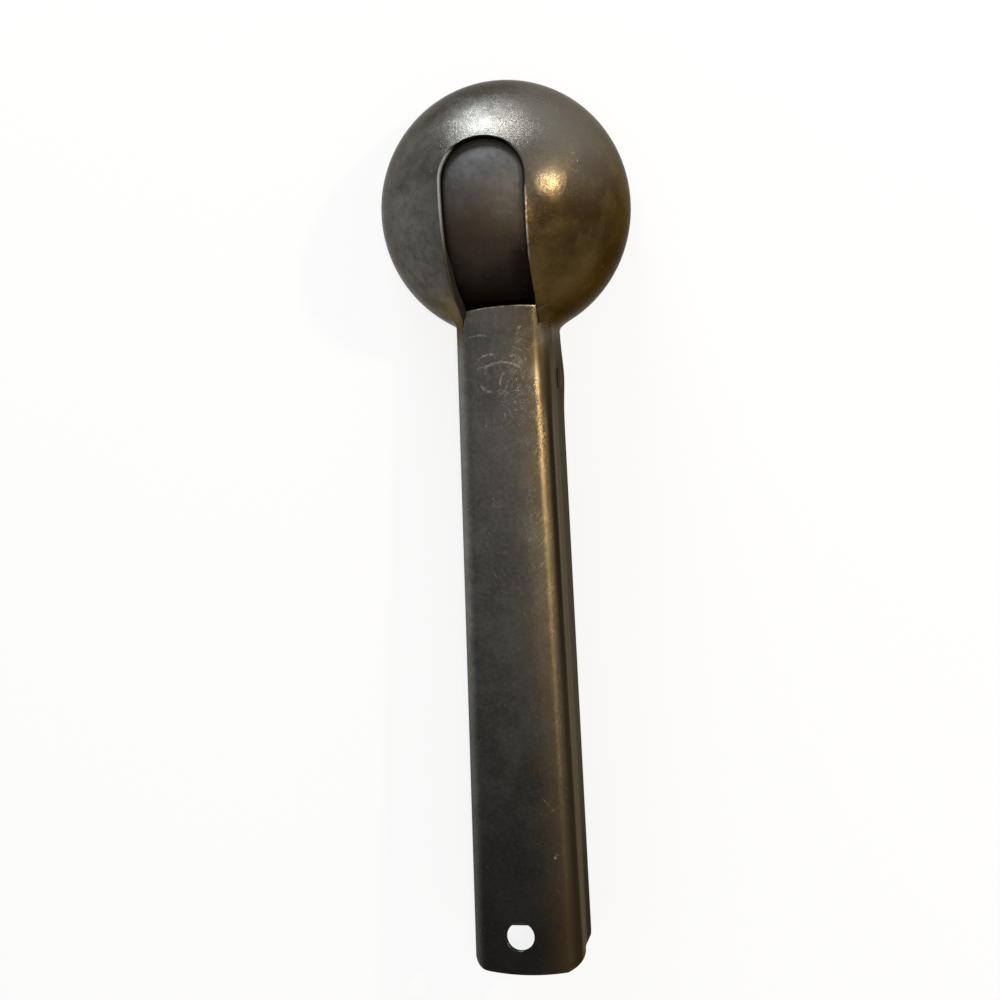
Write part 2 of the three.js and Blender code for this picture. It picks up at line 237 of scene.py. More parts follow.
def body_rings(y, with_bowl):
    """X, Z and running length of the outer face's half rings at the stations y."""
    station = np.minimum(y, CREASE_Y) if with_bowl else y
    x, z = channel_half(half_width(station), web_top(station))
    if with_bowl:
        ball = np.sqrt(np.maximum(BOWL_RADIUS**2 - (y / BOWL_STRETCH) ** 2, 0))[:, None]
        reach = np.hypot(x, z)
        blended = np.where(y[:, None] < 0, blended_max(reach, ball, NECK_BLEND), ball)
        x = x / reach * blended
        z = z / reach * blended
    steps = np.hypot(np.diff(x, axis=1), np.diff(z, axis=1))
    length = np.hstack([np.zeros((len(y), 1)), np.cumsum(steps, axis=1)])
    return x, z, length


def station_of(t):
    """Y of a flat place."""
    return np.where(t > 0, BOWL_REACH * np.sin(np.clip(t, 0, BOWL_FRONT) / BOWL_RADIUS), t)


def behind_tab_front(s, y):
    """True for the flat places within the tab's width that lie behind its front."""
    return (y < TAB_FRONT + TAB_AHEAD) & (np.abs(s) < TAB_LIMIT)


def body_place(flat):
    """Points of the outer face at flat places s, t."""
    s, t = flat.T
    y = station_of(t)
    points = np.zeros((len(s), 3))
    points[:, 1] = y
    in_tab = behind_tab_front(s, y) & (y > SLIT_END_Y - TAB_BEHIND)
    for chosen, with_bowl in ((in_tab, False), (~in_tab, True)):
        if not chosen.any():
            continue
        stations, row = np.unique(y[chosen], return_inverse=True)
        x, z, length = body_rings(stations, with_bowl)
        reach = np.abs(s[chosen])
        after = np.clip((length[row] < reach[:, None]).sum(1), 1, length.shape[1] - 1)
        before = after - 1
        span = np.maximum(length[row, after] - length[row, before], TINY)
        share = (reach - length[row, before]) / span
        across = x[row, before] + share * (x[row, after] - x[row, before])
        points[chosen, 0] = np.sign(s[chosen]) * across
        points[chosen, 2] = z[row, before] + share * (z[row, after] - z[row, before])
    on_handle = ramp(y, CREASE_Y + CROWN_FADE, CREASE_Y - CROWN_FADE)
    on_web = ramp(points[:, 2] - web_top(y), -BEND_RADIUS, 0)
    points[:, 2] -= WEB_CROWN * points[:, 0] ** 2 * on_handle * on_web
    near_pin = np.exp(-(((y - PIVOT_Y) / PIN_BULGE_REACH) ** 2)) * ramp(points[:, 2], PIN_BULGE_TOP, 0)
    points[:, 0] += np.sign(s) * PIN_BULGE * near_pin
    return points


def rim_length(y):
    """Length of the half rings from the middle to the rim plane."""
    return body_rings(np.asarray(y, float), True)[2][:, RIM_INDEX]


def length_at(x, y, with_bowl):
    """Length along the rings from the middle to the places x."""
    xs, _, length = body_rings(np.asarray(y, float), with_bowl)
    upper = WEB_STEPS + BEND_STEPS // 2
    return np.array([np.interp(a, xs[i, :upper], length[i, :upper]) for i, a in enumerate(x)])


def flange_edge(y):
    """Height of the flange's free edge."""
    rear_height = web_top(SLANT_FOOT) - FLANGE_DEPTH_REAR
    return rear_height * np.clip((NECK_END - y) / (NECK_END - SLANT_FOOT), 0, 1)


def rear_edge(x):
    """Y of the handle's rear edge."""
    half = REAR_WIDTH / 2
    into = np.clip((np.abs(x) - (half - END_CORNER)) / END_CORNER, 0, 1)
    return -HANDLE_REACH + END_SAG * (x / half) ** 2 + END_CORNER * (1 - np.sqrt(1 - into**2))


def joined(right, left):
    """Right half of a loop joined to the mirror image of a half."""
    return np.vstack([right, (left[::-1] * [-1, 1])[1:-1]])


def outline_half(worn):
    """Right half of the outline, from the bowl's front to the rear edge's middle, its corner worn or not."""
    rim_t = np.linspace(BOWL_FRONT, 0, RIM_POINTS)
    rim = np.column_stack([rim_length(station_of(rim_t)), rim_t])
    rim[0, 0] = 0
    rear_half = float(half_width(SLANT_TOP))
    foot = np.array([SLANT_FOOT, float(flange_edge(SLANT_FOOT))])
    top = np.array([SLANT_TOP, web_top(SLANT_TOP) - BEND_RADIUS])
    slant_end = foot + (top - foot) * (SLANT_FOOT - rear_edge(rear_half)) / FLANGE_SLANT
    if worn:
        slant_end = np.array([SLANT_FOOT - WORN_SLANT, top[1]])
    up_slant = (slant_end - foot) / np.linalg.norm(slant_end - foot)
    corner_y = SLANT_FOOT + FLANGE_CORNER
    corner_start = np.array([corner_y, float(flange_edge(corner_y))])
    corner_end = foot + FLANGE_CORNER * up_slant
    share = np.linspace(0, 1, CORNER_POINTS)[:, None]
    corner = (1 - share) ** 2 * corner_start + 2 * share * (1 - share) * foot + share**2 * corner_end
    slant = corner_end + (slant_end - corner_end) * share[1:]
    side_y = np.linspace(0, corner_y, SIDE_POINTS)[1:-1]
    side = np.column_stack([rim_length(side_y) - flange_edge(side_y), side_y])
    end_y, end_z = np.vstack([corner, slant]).T
    end = np.column_stack([rim_length(end_y) - end_z, end_y])
    up_s = np.linspace(end[-1, 0], 0, END_POINTS)[1:]
    up_x = body_place(np.column_stack([up_s, np.full(len(up_s), SLANT_TOP)]))[:, 0]
    rear_t = rear_edge(np.minimum(up_x, rear_half))
    if worn:
        past_web = up_s - rear_half + BEND_RADIUS
        into = np.clip(1 - past_web / WORN_CORNER_REACH, 0, 1)
        worn_t = np.maximum(rear_t, slant_end[0] - WORN_CORNER * into**WORN_CORNER_ROUND)
        rear_t = np.where(past_web > 0, worn_t, rear_t)
    return np.vstack([rim, side, end, np.column_stack([up_s, rear_t])])


def body_outline():
    """Rim, flange edges and rear edge as one loop, with the sheet on its left."""
    return joined(outline_half(True), outline_half(False))[::-1]


def window_outline():
    """Arch, sides, slits and tab front as one loop, with the sheet on its left."""
    turn = np.linspace(math.pi / 2, 0, ARCH_POINTS)
    arch_x = WINDOW_HALF_WIDTH * np.cos(turn)
    arch_y = WINDOW_ARCH_CENTRE + WINDOW_HALF_WIDTH * np.sin(turn)
    side_y = np.linspace(WINDOW_ARCH_CENTRE, SLIT_END_Y, WINDOW_SIDE_POINTS)[1:]
    down = (WINDOW_ARCH_CENTRE - side_y) / (WINDOW_ARCH_CENTRE - WINDOW_FOOT_Y)
    side_x = WINDOW_HALF_WIDTH + (WINDOW_FOOT_HALF_WIDTH - WINDOW_HALF_WIDTH) * down
    closing = ramp(side_y, TAB_FRONT + SLIT_CLOSING, TAB_FRONT)
    side_x -= closing * (side_x[-1] - TAB_HALF_WIDTH - SLIT_END_WIDTH)
    outer_y = np.concatenate([arch_y, side_y])
    outer_s = length_at(np.concatenate([arch_x, side_x]), outer_y, True)
    tab_y = np.linspace(SLIT_END_Y, TAB_FRONT - TAB_FRONT_BOW - TAB_CORNER, TAB_SIDE_POINTS)
    tab_s = length_at(np.full(TAB_SIDE_POINTS, TAB_HALF_WIDTH), tab_y, False)
    end_turn = np.linspace(0, math.pi, SMALL_TURN_POINTS)[1:-1]
    end_half = (outer_s[-1] - tab_s[0]) / 2
    end_s = (outer_s[-1] + tab_s[0]) / 2 + end_half * np.cos(end_turn)
    end_y = SLIT_END_Y - end_half * np.sin(end_turn)
    corner_turn = np.linspace(0, math.pi / 2, SMALL_TURN_POINTS)[1:]
    corner_s = tab_s[-1] - TAB_CORNER * (1 - np.cos(corner_turn))
    corner_y = tab_y[-1] + TAB_CORNER * np.sin(corner_turn)
    front_s = np.linspace(corner_s[-1], 0, TAB_FRONT_POINTS)[1:]
    front_y = TAB_FRONT - TAB_FRONT_BOW * (front_s / corner_s[-1]) ** 2
    right = np.column_stack([
        np.concatenate([outer_s, end_s, tab_s, corner_s, front_s]),
        np.concatenate([outer_y, end_y, tab_y, corner_y, front_y]),
    ])
    loop = joined(right, right)
    on_tab = (np.abs(loop[:, 0]) <= tab_s.max() + CLOSE) & (loop[:, 1] < TAB_FRONT + CLOSE)
    lifted = ramp(loop[:, 1], SLIT_END_Y, TAB_FRONT - TAB_FRONT_BOW) * on_tab
    loop[:, 1] += lifted * (TAB_LIFT + TAB_SKEW * loop[:, 0] / TAB_HALF_WIDTH)
    return loop


def ring_hole(centre, radius):
    """Round hole as a loop, with the sheet on its left."""
    turn = np.linspace(0, -2 * math.pi, HOLE_POINTS)[:-1]
    return np.asarray(centre) + radius * np.column_stack([np.cos(turn), np.sin(turn)])


def pin_hole(side):
    """Hole for the pin in one flange."""
    turn = np.linspace(0, -2 * math.pi * side, HOLE_POINTS)[:-1]
    radius = PIN_RADIUS + HOLE_GAP
    y = PIVOT_Y + radius * np.sin(turn)
    s = rim_length(y) - PIVOT_HEIGHT + radius * np.cos(turn)
    return np.column_stack([side * s, y])


# Closed sheets with rolled edges.
def even_loop(loop, place, spacing):
    """The same loop with points at even distances on the surface."""
    closed = np.vstack([loop, loop[:1]])
    steps = np.linalg.norm(np.diff(place(closed), axis=0), axis=1)
    length = np.concatenate([[0], np.cumsum(steps)])
    count = int(round(length[-1] / spacing))
    wanted = np.linspace(0, length[-1], count + 1)[:-1]
    return np.column_stack([np.interp(wanted, length, closed[:, i]) for i in (0, 1)])


def slopes(flat, place):
    """Points, unit normals and the two directions of a surface at flat places."""
    here = place(flat)
    along_s = (place(flat + [SLOPE_STEP, 0]) - place(flat - [SLOPE_STEP, 0])) / (2 * SLOPE_STEP)
    along_t = (here - place(flat - [0, SLOPE_STEP])) / SLOPE_STEP
    normal = np.cross(along_s, along_t)
    size = np.linalg.norm(normal, axis=1, keepdims=True)
    normal = np.where(size > CLOSE, normal / np.maximum(size, TINY), [0, 1, 0])
    return here, normal, along_s, along_t


def edge_frame(loop, place):
    """Outward direction of the cut at each point of a loop, and the surface's two directions there."""
    here, normal, along_s, along_t = slopes(loop, place)
    along = np.roll(here, -1, axis=0) - np.roll(here, 1, axis=0)
    out = np.cross(along, normal)
    out /= np.linalg.norm(out, axis=1, keepdims=True)
    return out, along_s, along_t


def inset_loop(loop, place, depth):
    """Loop moved into the sheet by a depth on the surface."""
    out, along_s, along_t = edge_frame(loop, place)
    ss = (along_s**2).sum(1) + TINY
    tt = (along_t**2).sum(1) + TINY
    st = (along_s * along_t).sum(1)
    back_s = -depth * (along_s * out).sum(1)
    back_t = -depth * (along_t * out).sum(1)
    size = ss * tt - st**2 + TINY
    return loop + np.column_stack([tt * back_s - st * back_t, ss * back_t - st * back_s]) / size[:, None]


def inside(points, loop):
    """True for the flat points that lie within a loop, worked out in batches."""
    batch = 4000
    found = np.zeros(len(points), bool)
    after = np.roll(loop, -1, axis=0)
    rise = np.where(after[:, 1] == loop[:, 1], 1, after[:, 1] - loop[:, 1])
    for start in range(0, len(points), batch):
        x, y = points[start:start + batch].T[:, :, None]
        spans = (loop[:, 1] > y) != (after[:, 1] > y)
        cross = loop[:, 0] + (y - loop[:, 1]) / rise * (after[:, 0] - loop[:, 0])
        found[start:start + batch] = (spans & (x < cross)).sum(1) % 2 == 1
    return found


def between(points, loops):
    """True for the flat points inside the first loop and outside the others."""
    kept = inside(points, loops[0])
    for loop in loops[1:]:
        kept &= ~inside(points, loop)
    return kept


def placed(name, data):
    """Object of a mesh, camera or light, put in the scene."""
    item = bpy.data.objects.new(name, data)
    bpy.context.scene.collection.objects.link(item)
    return item


def new_mesh(name, points, edges=(), faces=()):
    """Mesh of points in metres, with smooth faces."""
    mesh = bpy.data.meshes.new(name)
    mesh.from_pydata(np.reshape(points, (-1, 3)).tolist(), list(edges), list(faces))
    smooth_faces(mesh)
    return mesh


def smooth_faces(mesh):
    """Shades every face of a mesh smooth."""
    mesh.polygons.foreach_set("use_smooth", [True] * len(mesh.polygons))


def add_mark(mesh, name, values):
    """Named number on each point of a mesh, for its material."""
    attribute = mesh.attributes.new(name, "FLOAT", "POINT")
    attribute.data.foreach_set("value", np.asarray(values, np.float32))


# A cut line with the rounding of its edge, its wear, the lip turned in along it,
# and whether its wall is marked.
Cut = namedtuple("Cut", "line arris wear lip marked", defaults=(0, False))
WEAR_REACH = 0.5
LIP_REACH = 1.0


def along_cuts(values, cuts, place):
    """Values at each point of each cut, from numbers or rules."""
    found = []
    for value, cut in zip(values, cuts):
        points = place(cut.line)
        found.append(value(points) if callable(value) else np.full(len(points), float(value)))
    return found


def point_tree(points):
    """Search tree of flat points."""
    tree = KDTree(len(points))
    for i, (s, t) in enumerate(points):
        tree.insert((s, t, 0), i)
    tree.balance()
    return tree


def filled(loops, spacing, tree):
    """Even triangles between loops: flat points, faces, and the numbers of each loop's points."""
    edge_points = np.vstack(loops)
    lowest = edge_points.min(0)
    highest = edge_points.max(0)
    rows = []
    for i, t in enumerate(np.arange(lowest[1], highest[1], spacing * math.sqrt(3) / 2)):
        s = np.arange(lowest[0] + spacing * (i % 2) / 2, highest[0], spacing)
        rows.append(np.column_stack([s, np.full(len(s), t)]))
    grid = np.vstack(rows)
    grid = grid[between(grid, loops)]
    clear = np.array([tree.find((s, t, 0))[2] for s, t in grid])
    grid = grid[clear > GRID_CLEARANCE * spacing]

    first = np.cumsum([0] + [len(loop) for loop in loops])
    edges = []
    for start, loop in zip(first, loops):
        count = len(loop)
        edges += [(int(start + i), int(start + (i + 1) % count)) for i in range(count)]
    given = [Vector(p) for p in np.vstack([edge_points, grid])]
    made_points, _, made_faces, origins, *_ = delaunay_2d_cdt(given, edges, [], 0, MERGE_REACH)
    flat = np.array([tuple(p) for p in made_points])
    faces = np.array(made_faces)
    faces = faces[between(flat[faces].mean(1), loops)]
    where = {origin: i for i, found in enumerate(origins) for origin in found}
    rings = [np.array([where[start + i] for i in range(len(loop))]) for start, loop in zip(first, loops)]
    return flat, faces, rings


def sheet_piece(name, place, cuts, spacing, thickness, marks=None):
    """Closed sheet between its outer face and an inner one, with rolled edges along its cuts."""
    arrises = along_cuts([cut.arris for cut in cuts], cuts, place)
    wears = along_cuts([cut.wear for cut in cuts], cuts, place)
    edge_wear = np.concatenate(wears)
    edge_lip = np.concatenate(along_cuts([cut.lip for cut in cuts], cuts, place))
    flat_loops = [inset_loop(cut.line, place, arris) for cut, arris in zip(cuts, arrises)]
    tree = point_tree(np.vstack(flat_loops))
    flat, faces, loop_ids = filled(flat_loops, spacing, tree)

    outer, normal, _, _ = slopes(flat, place)
    count = len(flat)
    nearest = [tree.find((s, t, 0))[1:] for s, t in flat]
    worn = np.array([edge_wear[i] * math.exp(-away / WEAR_REACH) for i, away in nearest])
    lips = np.array([edge_lip[i] * math.exp(-((away / LIP_REACH) ** 2)) for i, away in nearest])
    points = [outer, outer - (thickness + lips)[:, None] * normal]
    normals = [normal, -normal]
    blank = np.zeros(2 * count)
    level = [np.zeros(count), np.ones(count)]
    found = {"edge": [worn, worn], "inner": level, "wall": [blank], "wall_x": [blank]}
    sources = [np.arange(count)] * 2
    all_faces = faces.tolist() + (faces[:, ::-1] + count).tolist()
    total = 2 * count
    turn = np.linspace(0, math.pi / 2, ARRIS_STEPS + 1)[1:]
    for ids, loop, cut, arris, wear in zip(loop_ids, flat_loops, cuts, arrises, wears):
        size = len(loop)
        out, _, _ = edge_frame(loop, place)
        up = normal[ids]
        rings = [ids]
        for is_inner, angles in ((False, turn), (True, turn[::-1])):
            for a in angles:
                sink = arris * (1 - math.cos(a))
                level = thickness + lips[ids] - sink if is_inner else sink
                lean = -math.cos(a) if is_inner else math.cos(a)
                points.append(outer[ids] + out * (arris * math.sin(a))[:, None] - up * level[:, None])
                normals.append(out * math.sin(a) + up * lean)
                found["edge"].append(wear)
                found["inner"].append(np.minimum(level / thickness, 1))
                found["wall"].append(np.full(size, float(cut.marked)))
                found["wall_x"].append(out[:, 0])
                sources.append(ids)
                rings.append(np.arange(total, total + size))
                total += size
        rings.append(ids + count)
        for upper, lower in zip(rings, rings[1:]):
            quads = np.column_stack([upper, lower, np.roll(lower, -1), np.roll(upper, -1)])
            all_faces += quads.tolist()

    mesh = new_mesh(name, to_frame(np.vstack(points)), (), all_faces)
    for mark, values in found.items():
        add_mark(mesh, mark, np.concatenate(values))
    source = np.concatenate(sources)
    for mark, values in (marks(flat, outer) if marks else {}).items():
        add_mark(mesh, mark, values[source])
    mesh.update()
    mesh.normals_split_custom_set_from_vertices(np.vstack(normals).tolist())
    return placed(name, mesh)


HANDLE_FADE = 6.0


def body_marks(flat, points):
    """Place across a side bend, from 0 where it starts to 1 where it ends, and where the handle is."""
    y = points[:, 1]
    past_web = np.abs(flat[:, 0]) - half_width(y) + BEND_RADIUS
    turn = np.clip(past_web / (BEND_RADIUS * math.pi / 2), -1, 2)
    behind = ramp(y, CREASE_Y, CREASE_Y - HANDLE_FADE)
    on_tab = behind_tab_front(flat[:, 0], y)
    return {"turn": turn * behind - (1 - behind), "handle": np.maximum(behind, on_tab)}


def window_arris(points):
    """Rounding of the window's cut: wide on the left side and the arch, crisp elsewhere."""
    x, y, _ = points.T
    left = WINDOW_LEFT_ARRIS * ramp(x, -3, -7)
    arch = WINDOW_ARCH_ARRIS * ramp(y, WINDOW_ARCH_CENTRE, WINDOW_ARCH_CENTRE + 5)
    return WINDOW_ARRIS + ramp(y, TAB_FRONT + 2, TAB_FRONT + 5) * np.maximum(left, arch)


def window_wear(points):
    """Wear of the window's cut: most on the tab's front and down the right side, none on the arch."""
    x, y, _ = points.T
    at_front = ramp(y, TAB_FRONT - 1.2, TAB_FRONT - 0.6) * ramp(y, TAB_FRONT + 2.2, TAB_FRONT + 1.7)
    on_right = ramp(x, 6, 8) * ramp(y, 7, 3) * ramp(y, -16, -10)
    return np.maximum(at_front * (np.abs(x) < TAB_LIMIT), on_right)


def window_lip(points):
    """Lip turned in along the lower left side of the window."""
    x, y, _ = points.T
    return WINDOW_LIP * ramp(y, -8, -14) * (x < -TAB_LIMIT)


def scoop_shell():
    """Bowl and handle in one sheet."""
    hole = ring_hole((HANG_HOLE_OFFSET, -HANDLE_REACH + HANG_HOLE_INSET), HANG_HOLE_RADIUS)
    window = even_loop(window_outline(), body_place, WINDOW_STEP)
    cuts = [
        Cut(even_loop(body_outline(), body_place, OUTLINE_STEP), ARRIS, wear=0.4),
        Cut(window, window_arris, window_wear, window_lip, marked=True),
        Cut(even_loop(hole, body_place, HOLE_STEP), HOLE_ARRIS, wear=0.3),
        Cut(even_loop(pin_hole(1), body_place, HOLE_STEP), ARRIS, wear=0.3),
        Cut(even_loop(pin_hole(-1), body_place, HOLE_STEP), ARRIS, wear=0.3),
    ]
    return sheet_piece("scoop_shell", body_place, cuts, BODY_GRID, SHEET, body_marks)


# Ejector blade.
BLADE_RADIUS = BOWL_RADIUS - SHEET - BLADE_GAP
BLADE_HALF_WIDTH = WINDOW_HALF_WIDTH + BLADE_OVERLAP
LEVER_FLOOR = LEVER_LIFT + LEVER_SHEET
TANG_TOP = LEVER_FLOOR + TANG_GAP + BLADE_SHEET
TANG_REAR = PIVOT_Y + PIN_RADIUS + 2 * WIRE_RADIUS + COIL_GAP + 2 * TANG_GAP
TANG_FRONT = TANG_REAR + TANG_LENGTH
RIVET_Y = (TANG_FRONT + TANG_REAR) / 2
BLADE_LEAVES = -BOWL_RADIUS * 0.21
BLADE_TIP = WINDOW_ARCH_CENTRE + BLADE_HALF_WIDTH
FLATTEST_BEND = 1e-4
TAIL_POINTS = 60
MIDDLE_POINTS = 3000
BLADE_SIDE_POINTS = 400
BLADE_REAR_POINTS = 40


def tail_line():
    """Blade's middle line from the dome down to the tang, a curve through a few places."""
    knots = np.array([
        [0, BLADE_RADIUS],
        [BLADE_LEAVES, math.sqrt(BLADE_RADIUS**2 - BLADE_LEAVES**2)],
        [-BOWL_RADIUS * 0.46, WEB_HEIGHT + 7.9],
        [TAB_FRONT + 1.7, WEB_HEIGHT - 0.8],
        [CREASE_Y - 0.2, (WEB_HEIGHT + TANG_TOP) / 2 - 2.4],
        [TANG_FRONT + 1.3, TANG_TOP + 0.6],
        [TANG_FRONT, TANG_TOP],
        [TANG_REAR, TANG_TOP],
    ])
    padded = np.vstack([2 * knots[0] - knots[1], knots, 2 * knots[-1] - knots[-2]])
    u = np.linspace(0, 1, TAIL_POINTS)[:-1, None]
    line = []
    for a, b, c, d in zip(padded, padded[1:], padded[2:], padded[3:]):
        ab, bc, cd = (math.sqrt(np.linalg.norm(q - p)) for p, q in ((a, b), (b, c), (c, d)))
        leave = ((b - a) / ab - (c - a) / (ab + bc) + (c - b) / bc) * bc
        arrive = ((c - b) / bc - (d - b) / (bc + cd) + (d - c) / cd) * bc
        stays = (2 * u**3 - 3 * u**2 + 1) * b + (3 * u**2 - 2 * u**3) * c
        line.append(stays + (u**3 - 2 * u**2 + u) * leave + (u**3 - u**2) * arrive)
    return np.vstack(line + [knots[-1:]])


TAIL = tail_line()


def blade_middle(y):
    """Height of the blade's upper face on its middle line."""
    dome = np.sqrt(np.maximum(BLADE_RADIUS**2 - y**2, 0))
    tail = np.interp(-y, -TAIL[:, 0], TAIL[:, 1])
    return np.where(y >= BLADE_LEAVES, dome, tail)


MIDDLE_Y = np.linspace(BLADE_TIP + 1, TANG_REAR - 1, MIDDLE_POINTS)
MIDDLE_STEPS = np.hypot(np.diff(MIDDLE_Y), np.diff(blade_middle(MIDDLE_Y)))
MIDDLE_LENGTH = np.concatenate([[0], np.cumsum(MIDDLE_STEPS)])


def blade_t(y):
    """Flat place along the blade."""
    return -np.interp(-np.asarray(y, float), -MIDDLE_Y, MIDDLE_LENGTH)


def blade_place(flat):
    """Points of the blade's upper face."""
    x, t = flat.T
    y = np.interp(-t, MIDDLE_LENGTH, MIDDLE_Y)
    flatness = ramp(y, BLADE_LEAVES, TANG_FRONT)
    bend = (1 - flatness) / np.sqrt(BLADE_RADIUS**2 - np.maximum(y, BLADE_LEAVES) ** 2)
    radius = 1 / np.maximum(bend, FLATTEST_BEND)
    drop = radius - np.sqrt(radius**2 - x**2)
    return np.column_stack([x, y, blade_middle(y) - drop])


def blade_width(y):
    """Half the blade's width below its arch."""
    narrowed = (BLADE_NECK_HALF_WIDTH - BLADE_HALF_WIDTH) * ramp(y, WINDOW_ARCH_CENTRE, TAB_FRONT)
    to_tang = ramp(y, TAB_FRONT, TANG_FRONT + 1)
    return BLADE_HALF_WIDTH + narrowed + (BLADE_TANG_HALF_WIDTH - BLADE_NECK_HALF_WIDTH) * to_tang


def ejector_blade():
    """Dished tongue under the window, with its tail and tang."""
    side_y = np.linspace(TANG_REAR, WINDOW_ARCH_CENTRE, BLADE_SIDE_POINTS)
    side = np.column_stack([blade_width(side_y), blade_t(side_y)])
    turn = np.linspace(0, math.pi / 2, ARCH_POINTS)[1:]
    arch_y = WINDOW_ARCH_CENTRE + BLADE_HALF_WIDTH * np.sin(turn)
    arch = np.column_stack([BLADE_HALF_WIDTH * np.cos(turn), blade_t(arch_y)])
    rear_x = np.linspace(0, side[0, 0], BLADE_REAR_POINTS)[:-1]
    rear = np.column_stack([rear_x, np.full(len(rear_x), side[0, 1])])
    right = np.vstack([rear, side, arch])
    cuts = [Cut(even_loop(joined(right, right), blade_place, BLADE_STEP), BLADE_ARRIS, wear=0.6)]
    for side_sign in (-1, 1):
        hole = ring_hole((side_sign * RIVET_SPREAD, blade_t(RIVET_Y)), RIVET_RADIUS + HOLE_GAP)
        cuts.append(Cut(even_loop(hole, blade_place, RIVET_HOLE_STEP), BLADE_ARRIS, wear=0.3))
    return sheet_piece("ejector_tongue", blade_place, cuts, BLADE_GRID, BLADE_SHEET)


# Node trees.
def feed(tree, socket, value):
    """Joins a value of the tree to a socket, or sets the socket to a plain value."""
    value = value.socket if isinstance(value, Formula) else value
    if isinstance(value, bpy.types.NodeSocket):
        tree.links.new(value, socket)
    else:
        socket.default_value = value


class Formula:
    """Value in a node tree, so that rules read as sums and products."""

    def __init__(self, tree, socket):
        self.tree = tree
        self.socket = socket

    def made(self, operation, *values):
        """Result of a mathematical node."""
        node = self.tree.nodes.new("ShaderNodeMath")
        node.operation = operation
        for socket, value in zip(node.inputs, values):
            feed(self.tree, socket, value)
        return Formula(self.tree, node.outputs[0])

    def use(self, operation, *others):
        """Result of a mathematical node with this value first."""
        return self.made(operation, self, *others)

    def __add__(self, other):
        return self.made("ADD", self, other)

    def __sub__(self, other):
        return self.made("SUBTRACT", self, other)

    def __rsub__(self, other):
        return self.made("SUBTRACT", other, self)

    def __mul__(self, other):
        return self.made("MULTIPLY", self, other)

    def __truediv__(self, other):
        return self.made("DIVIDE", self, other)


def rgba(tint):
    """Colour with full alpha, or a socket as it is."""
    return (*tint, 1.0) if isinstance(tint, tuple) else tint


class Board:
    """Node tree with short calls for adding and joining nodes."""

    def __init__(self, tree):
        self.tree = tree

    def add(self, kind, inputs=None, **settings):
        """New node with its settings and inputs."""
        node = self.tree.nodes.new(kind)
        for name, value in settings.items():
            setattr(node, name, value)
        for key, value in (inputs or {}).items():
            feed(self.tree, node.inputs[key], value)
        return node

    def values(self, node):
        """The outputs of a node by name."""
        return {output.name: Formula(self.tree, output) for output in node.outputs}

    def axes(self, vector):
        """The three parts of a vector."""
        return list(self.values(self.add("ShaderNodeSeparateXYZ", {0: vector})).values())

    def vector(self, x, y, z):
        """Vector of three parts."""
        return self.add("ShaderNodeCombineXYZ", {"X": x, "Y": y, "Z": z}).outputs[0]

    def ramp(self, value, zone):
        """Soft step over a zone, from 0 at its first end to 1 at its second."""
        inputs = {"Value": value, "From Min": zone[0], "From Max": zone[1]}
        node = self.add("ShaderNodeMapRange", inputs, interpolation_type="SMOOTHSTEP")
        return Formula(self.tree, node.outputs["Result"])

    def mix(self, share, a, b):
        """Colour between two colours."""
        return self.add("ShaderNodeMix", {0: share, 6: rgba(a), 7: rgba(b)}, data_type="RGBA").outputs[2]

    def noise(self, vector, scale, detail, roughness, distortion=0.0):
        """Cloudy value from 0 to 1."""
        inputs = {"Vector": vector, "Scale": scale, "Detail": detail, "Roughness": roughness}
        node = self.add("ShaderNodeTexNoise", {**inputs, "Distortion": distortion})
        return Formula(self.tree, node.outputs["Fac"])

    def group(self, tree, **inputs):
        """Outputs of a node group with these inputs."""
        return self.values(self.add("ShaderNodeGroup", inputs, node_tree=tree))


def new_group(kind, name, takes, gives):
    """Node group with named sockets: its board, its inputs and its output node."""
    tree = bpy.data.node_groups.new(name, kind)
    for direction, sockets in (("INPUT", takes), ("OUTPUT", gives)):
        for socket, socket_kind in sockets.items():
            tree.interface.new_socket(socket, in_out=direction, socket_type="NodeSocket" + socket_kind)
    board = Board(tree)
    return board, board.values(board.add("NodeGroupInput")), board.add("NodeGroupOutput")


def shape_group(name, **sizes):
    """Geometry node group that takes a geometry, a material and sizes."""
    takes = {"Geometry": "Geometry", **sizes, "Material": "Material"}
    return new_group("GeometryNodeTree", name, takes, {"Geometry": "Geometry"})


def close_shape(board, geometry, given, out):
    """Ends a geometry node group in real geometry with its material."""
    real = board.add("GeometryNodeRealizeInstances", {"Geometry": geometry}).outputs[0]
    dressed = board.add("GeometryNodeSetMaterial", {"Geometry": real, "Material": given["Material"]})
    feed(board.tree, out.inputs["Geometry"], dressed.outputs[0])
    return board.tree


def evaluated_mesh(item, name):
    """Plain mesh of an object with its modifiers applied."""
    bpy.context.view_layer.update()
    evaluated = item.evaluated_get(bpy.context.evaluated_depsgraph_get())
    mesh = bpy.data.meshes.new_from_object(evaluated)
    mesh.name = name
    return mesh


def made_by(tree, name, base_mesh, values):
    """Plain mesh object that a tree makes from a base, with its inputs set."""
    base = placed(base_mesh.name, base_mesh)
    modifier = base.modifiers.new(tree.name, "NODES")
    modifier.node_group = tree
    for item in tree.interface.items_tree:
        if item.in_out == "INPUT" and item.name in values:
            modifier[item.identifier] = values[item.name]
    mesh = evaluated_mesh(base, name)
    bpy.data.objects.remove(base)
    return placed(name, mesh)


def rounded(piece, width, segments, angle):
    """Piece with its sharp edges rounded, as a plain mesh."""
    bevel = piece.modifiers.new("Round edges", "BEVEL")
    bevel.width = width * MM
    bevel.segments = segments
    bevel.limit_method = "ANGLE"
    bevel.angle_limit = math.radians(angle)
    bevel.harden_normals = True
    smooth_faces(piece.data)
    mesh = evaluated_mesh(piece, piece.name)
    piece.modifiers.clear()
    piece.data = mesh
    return piece


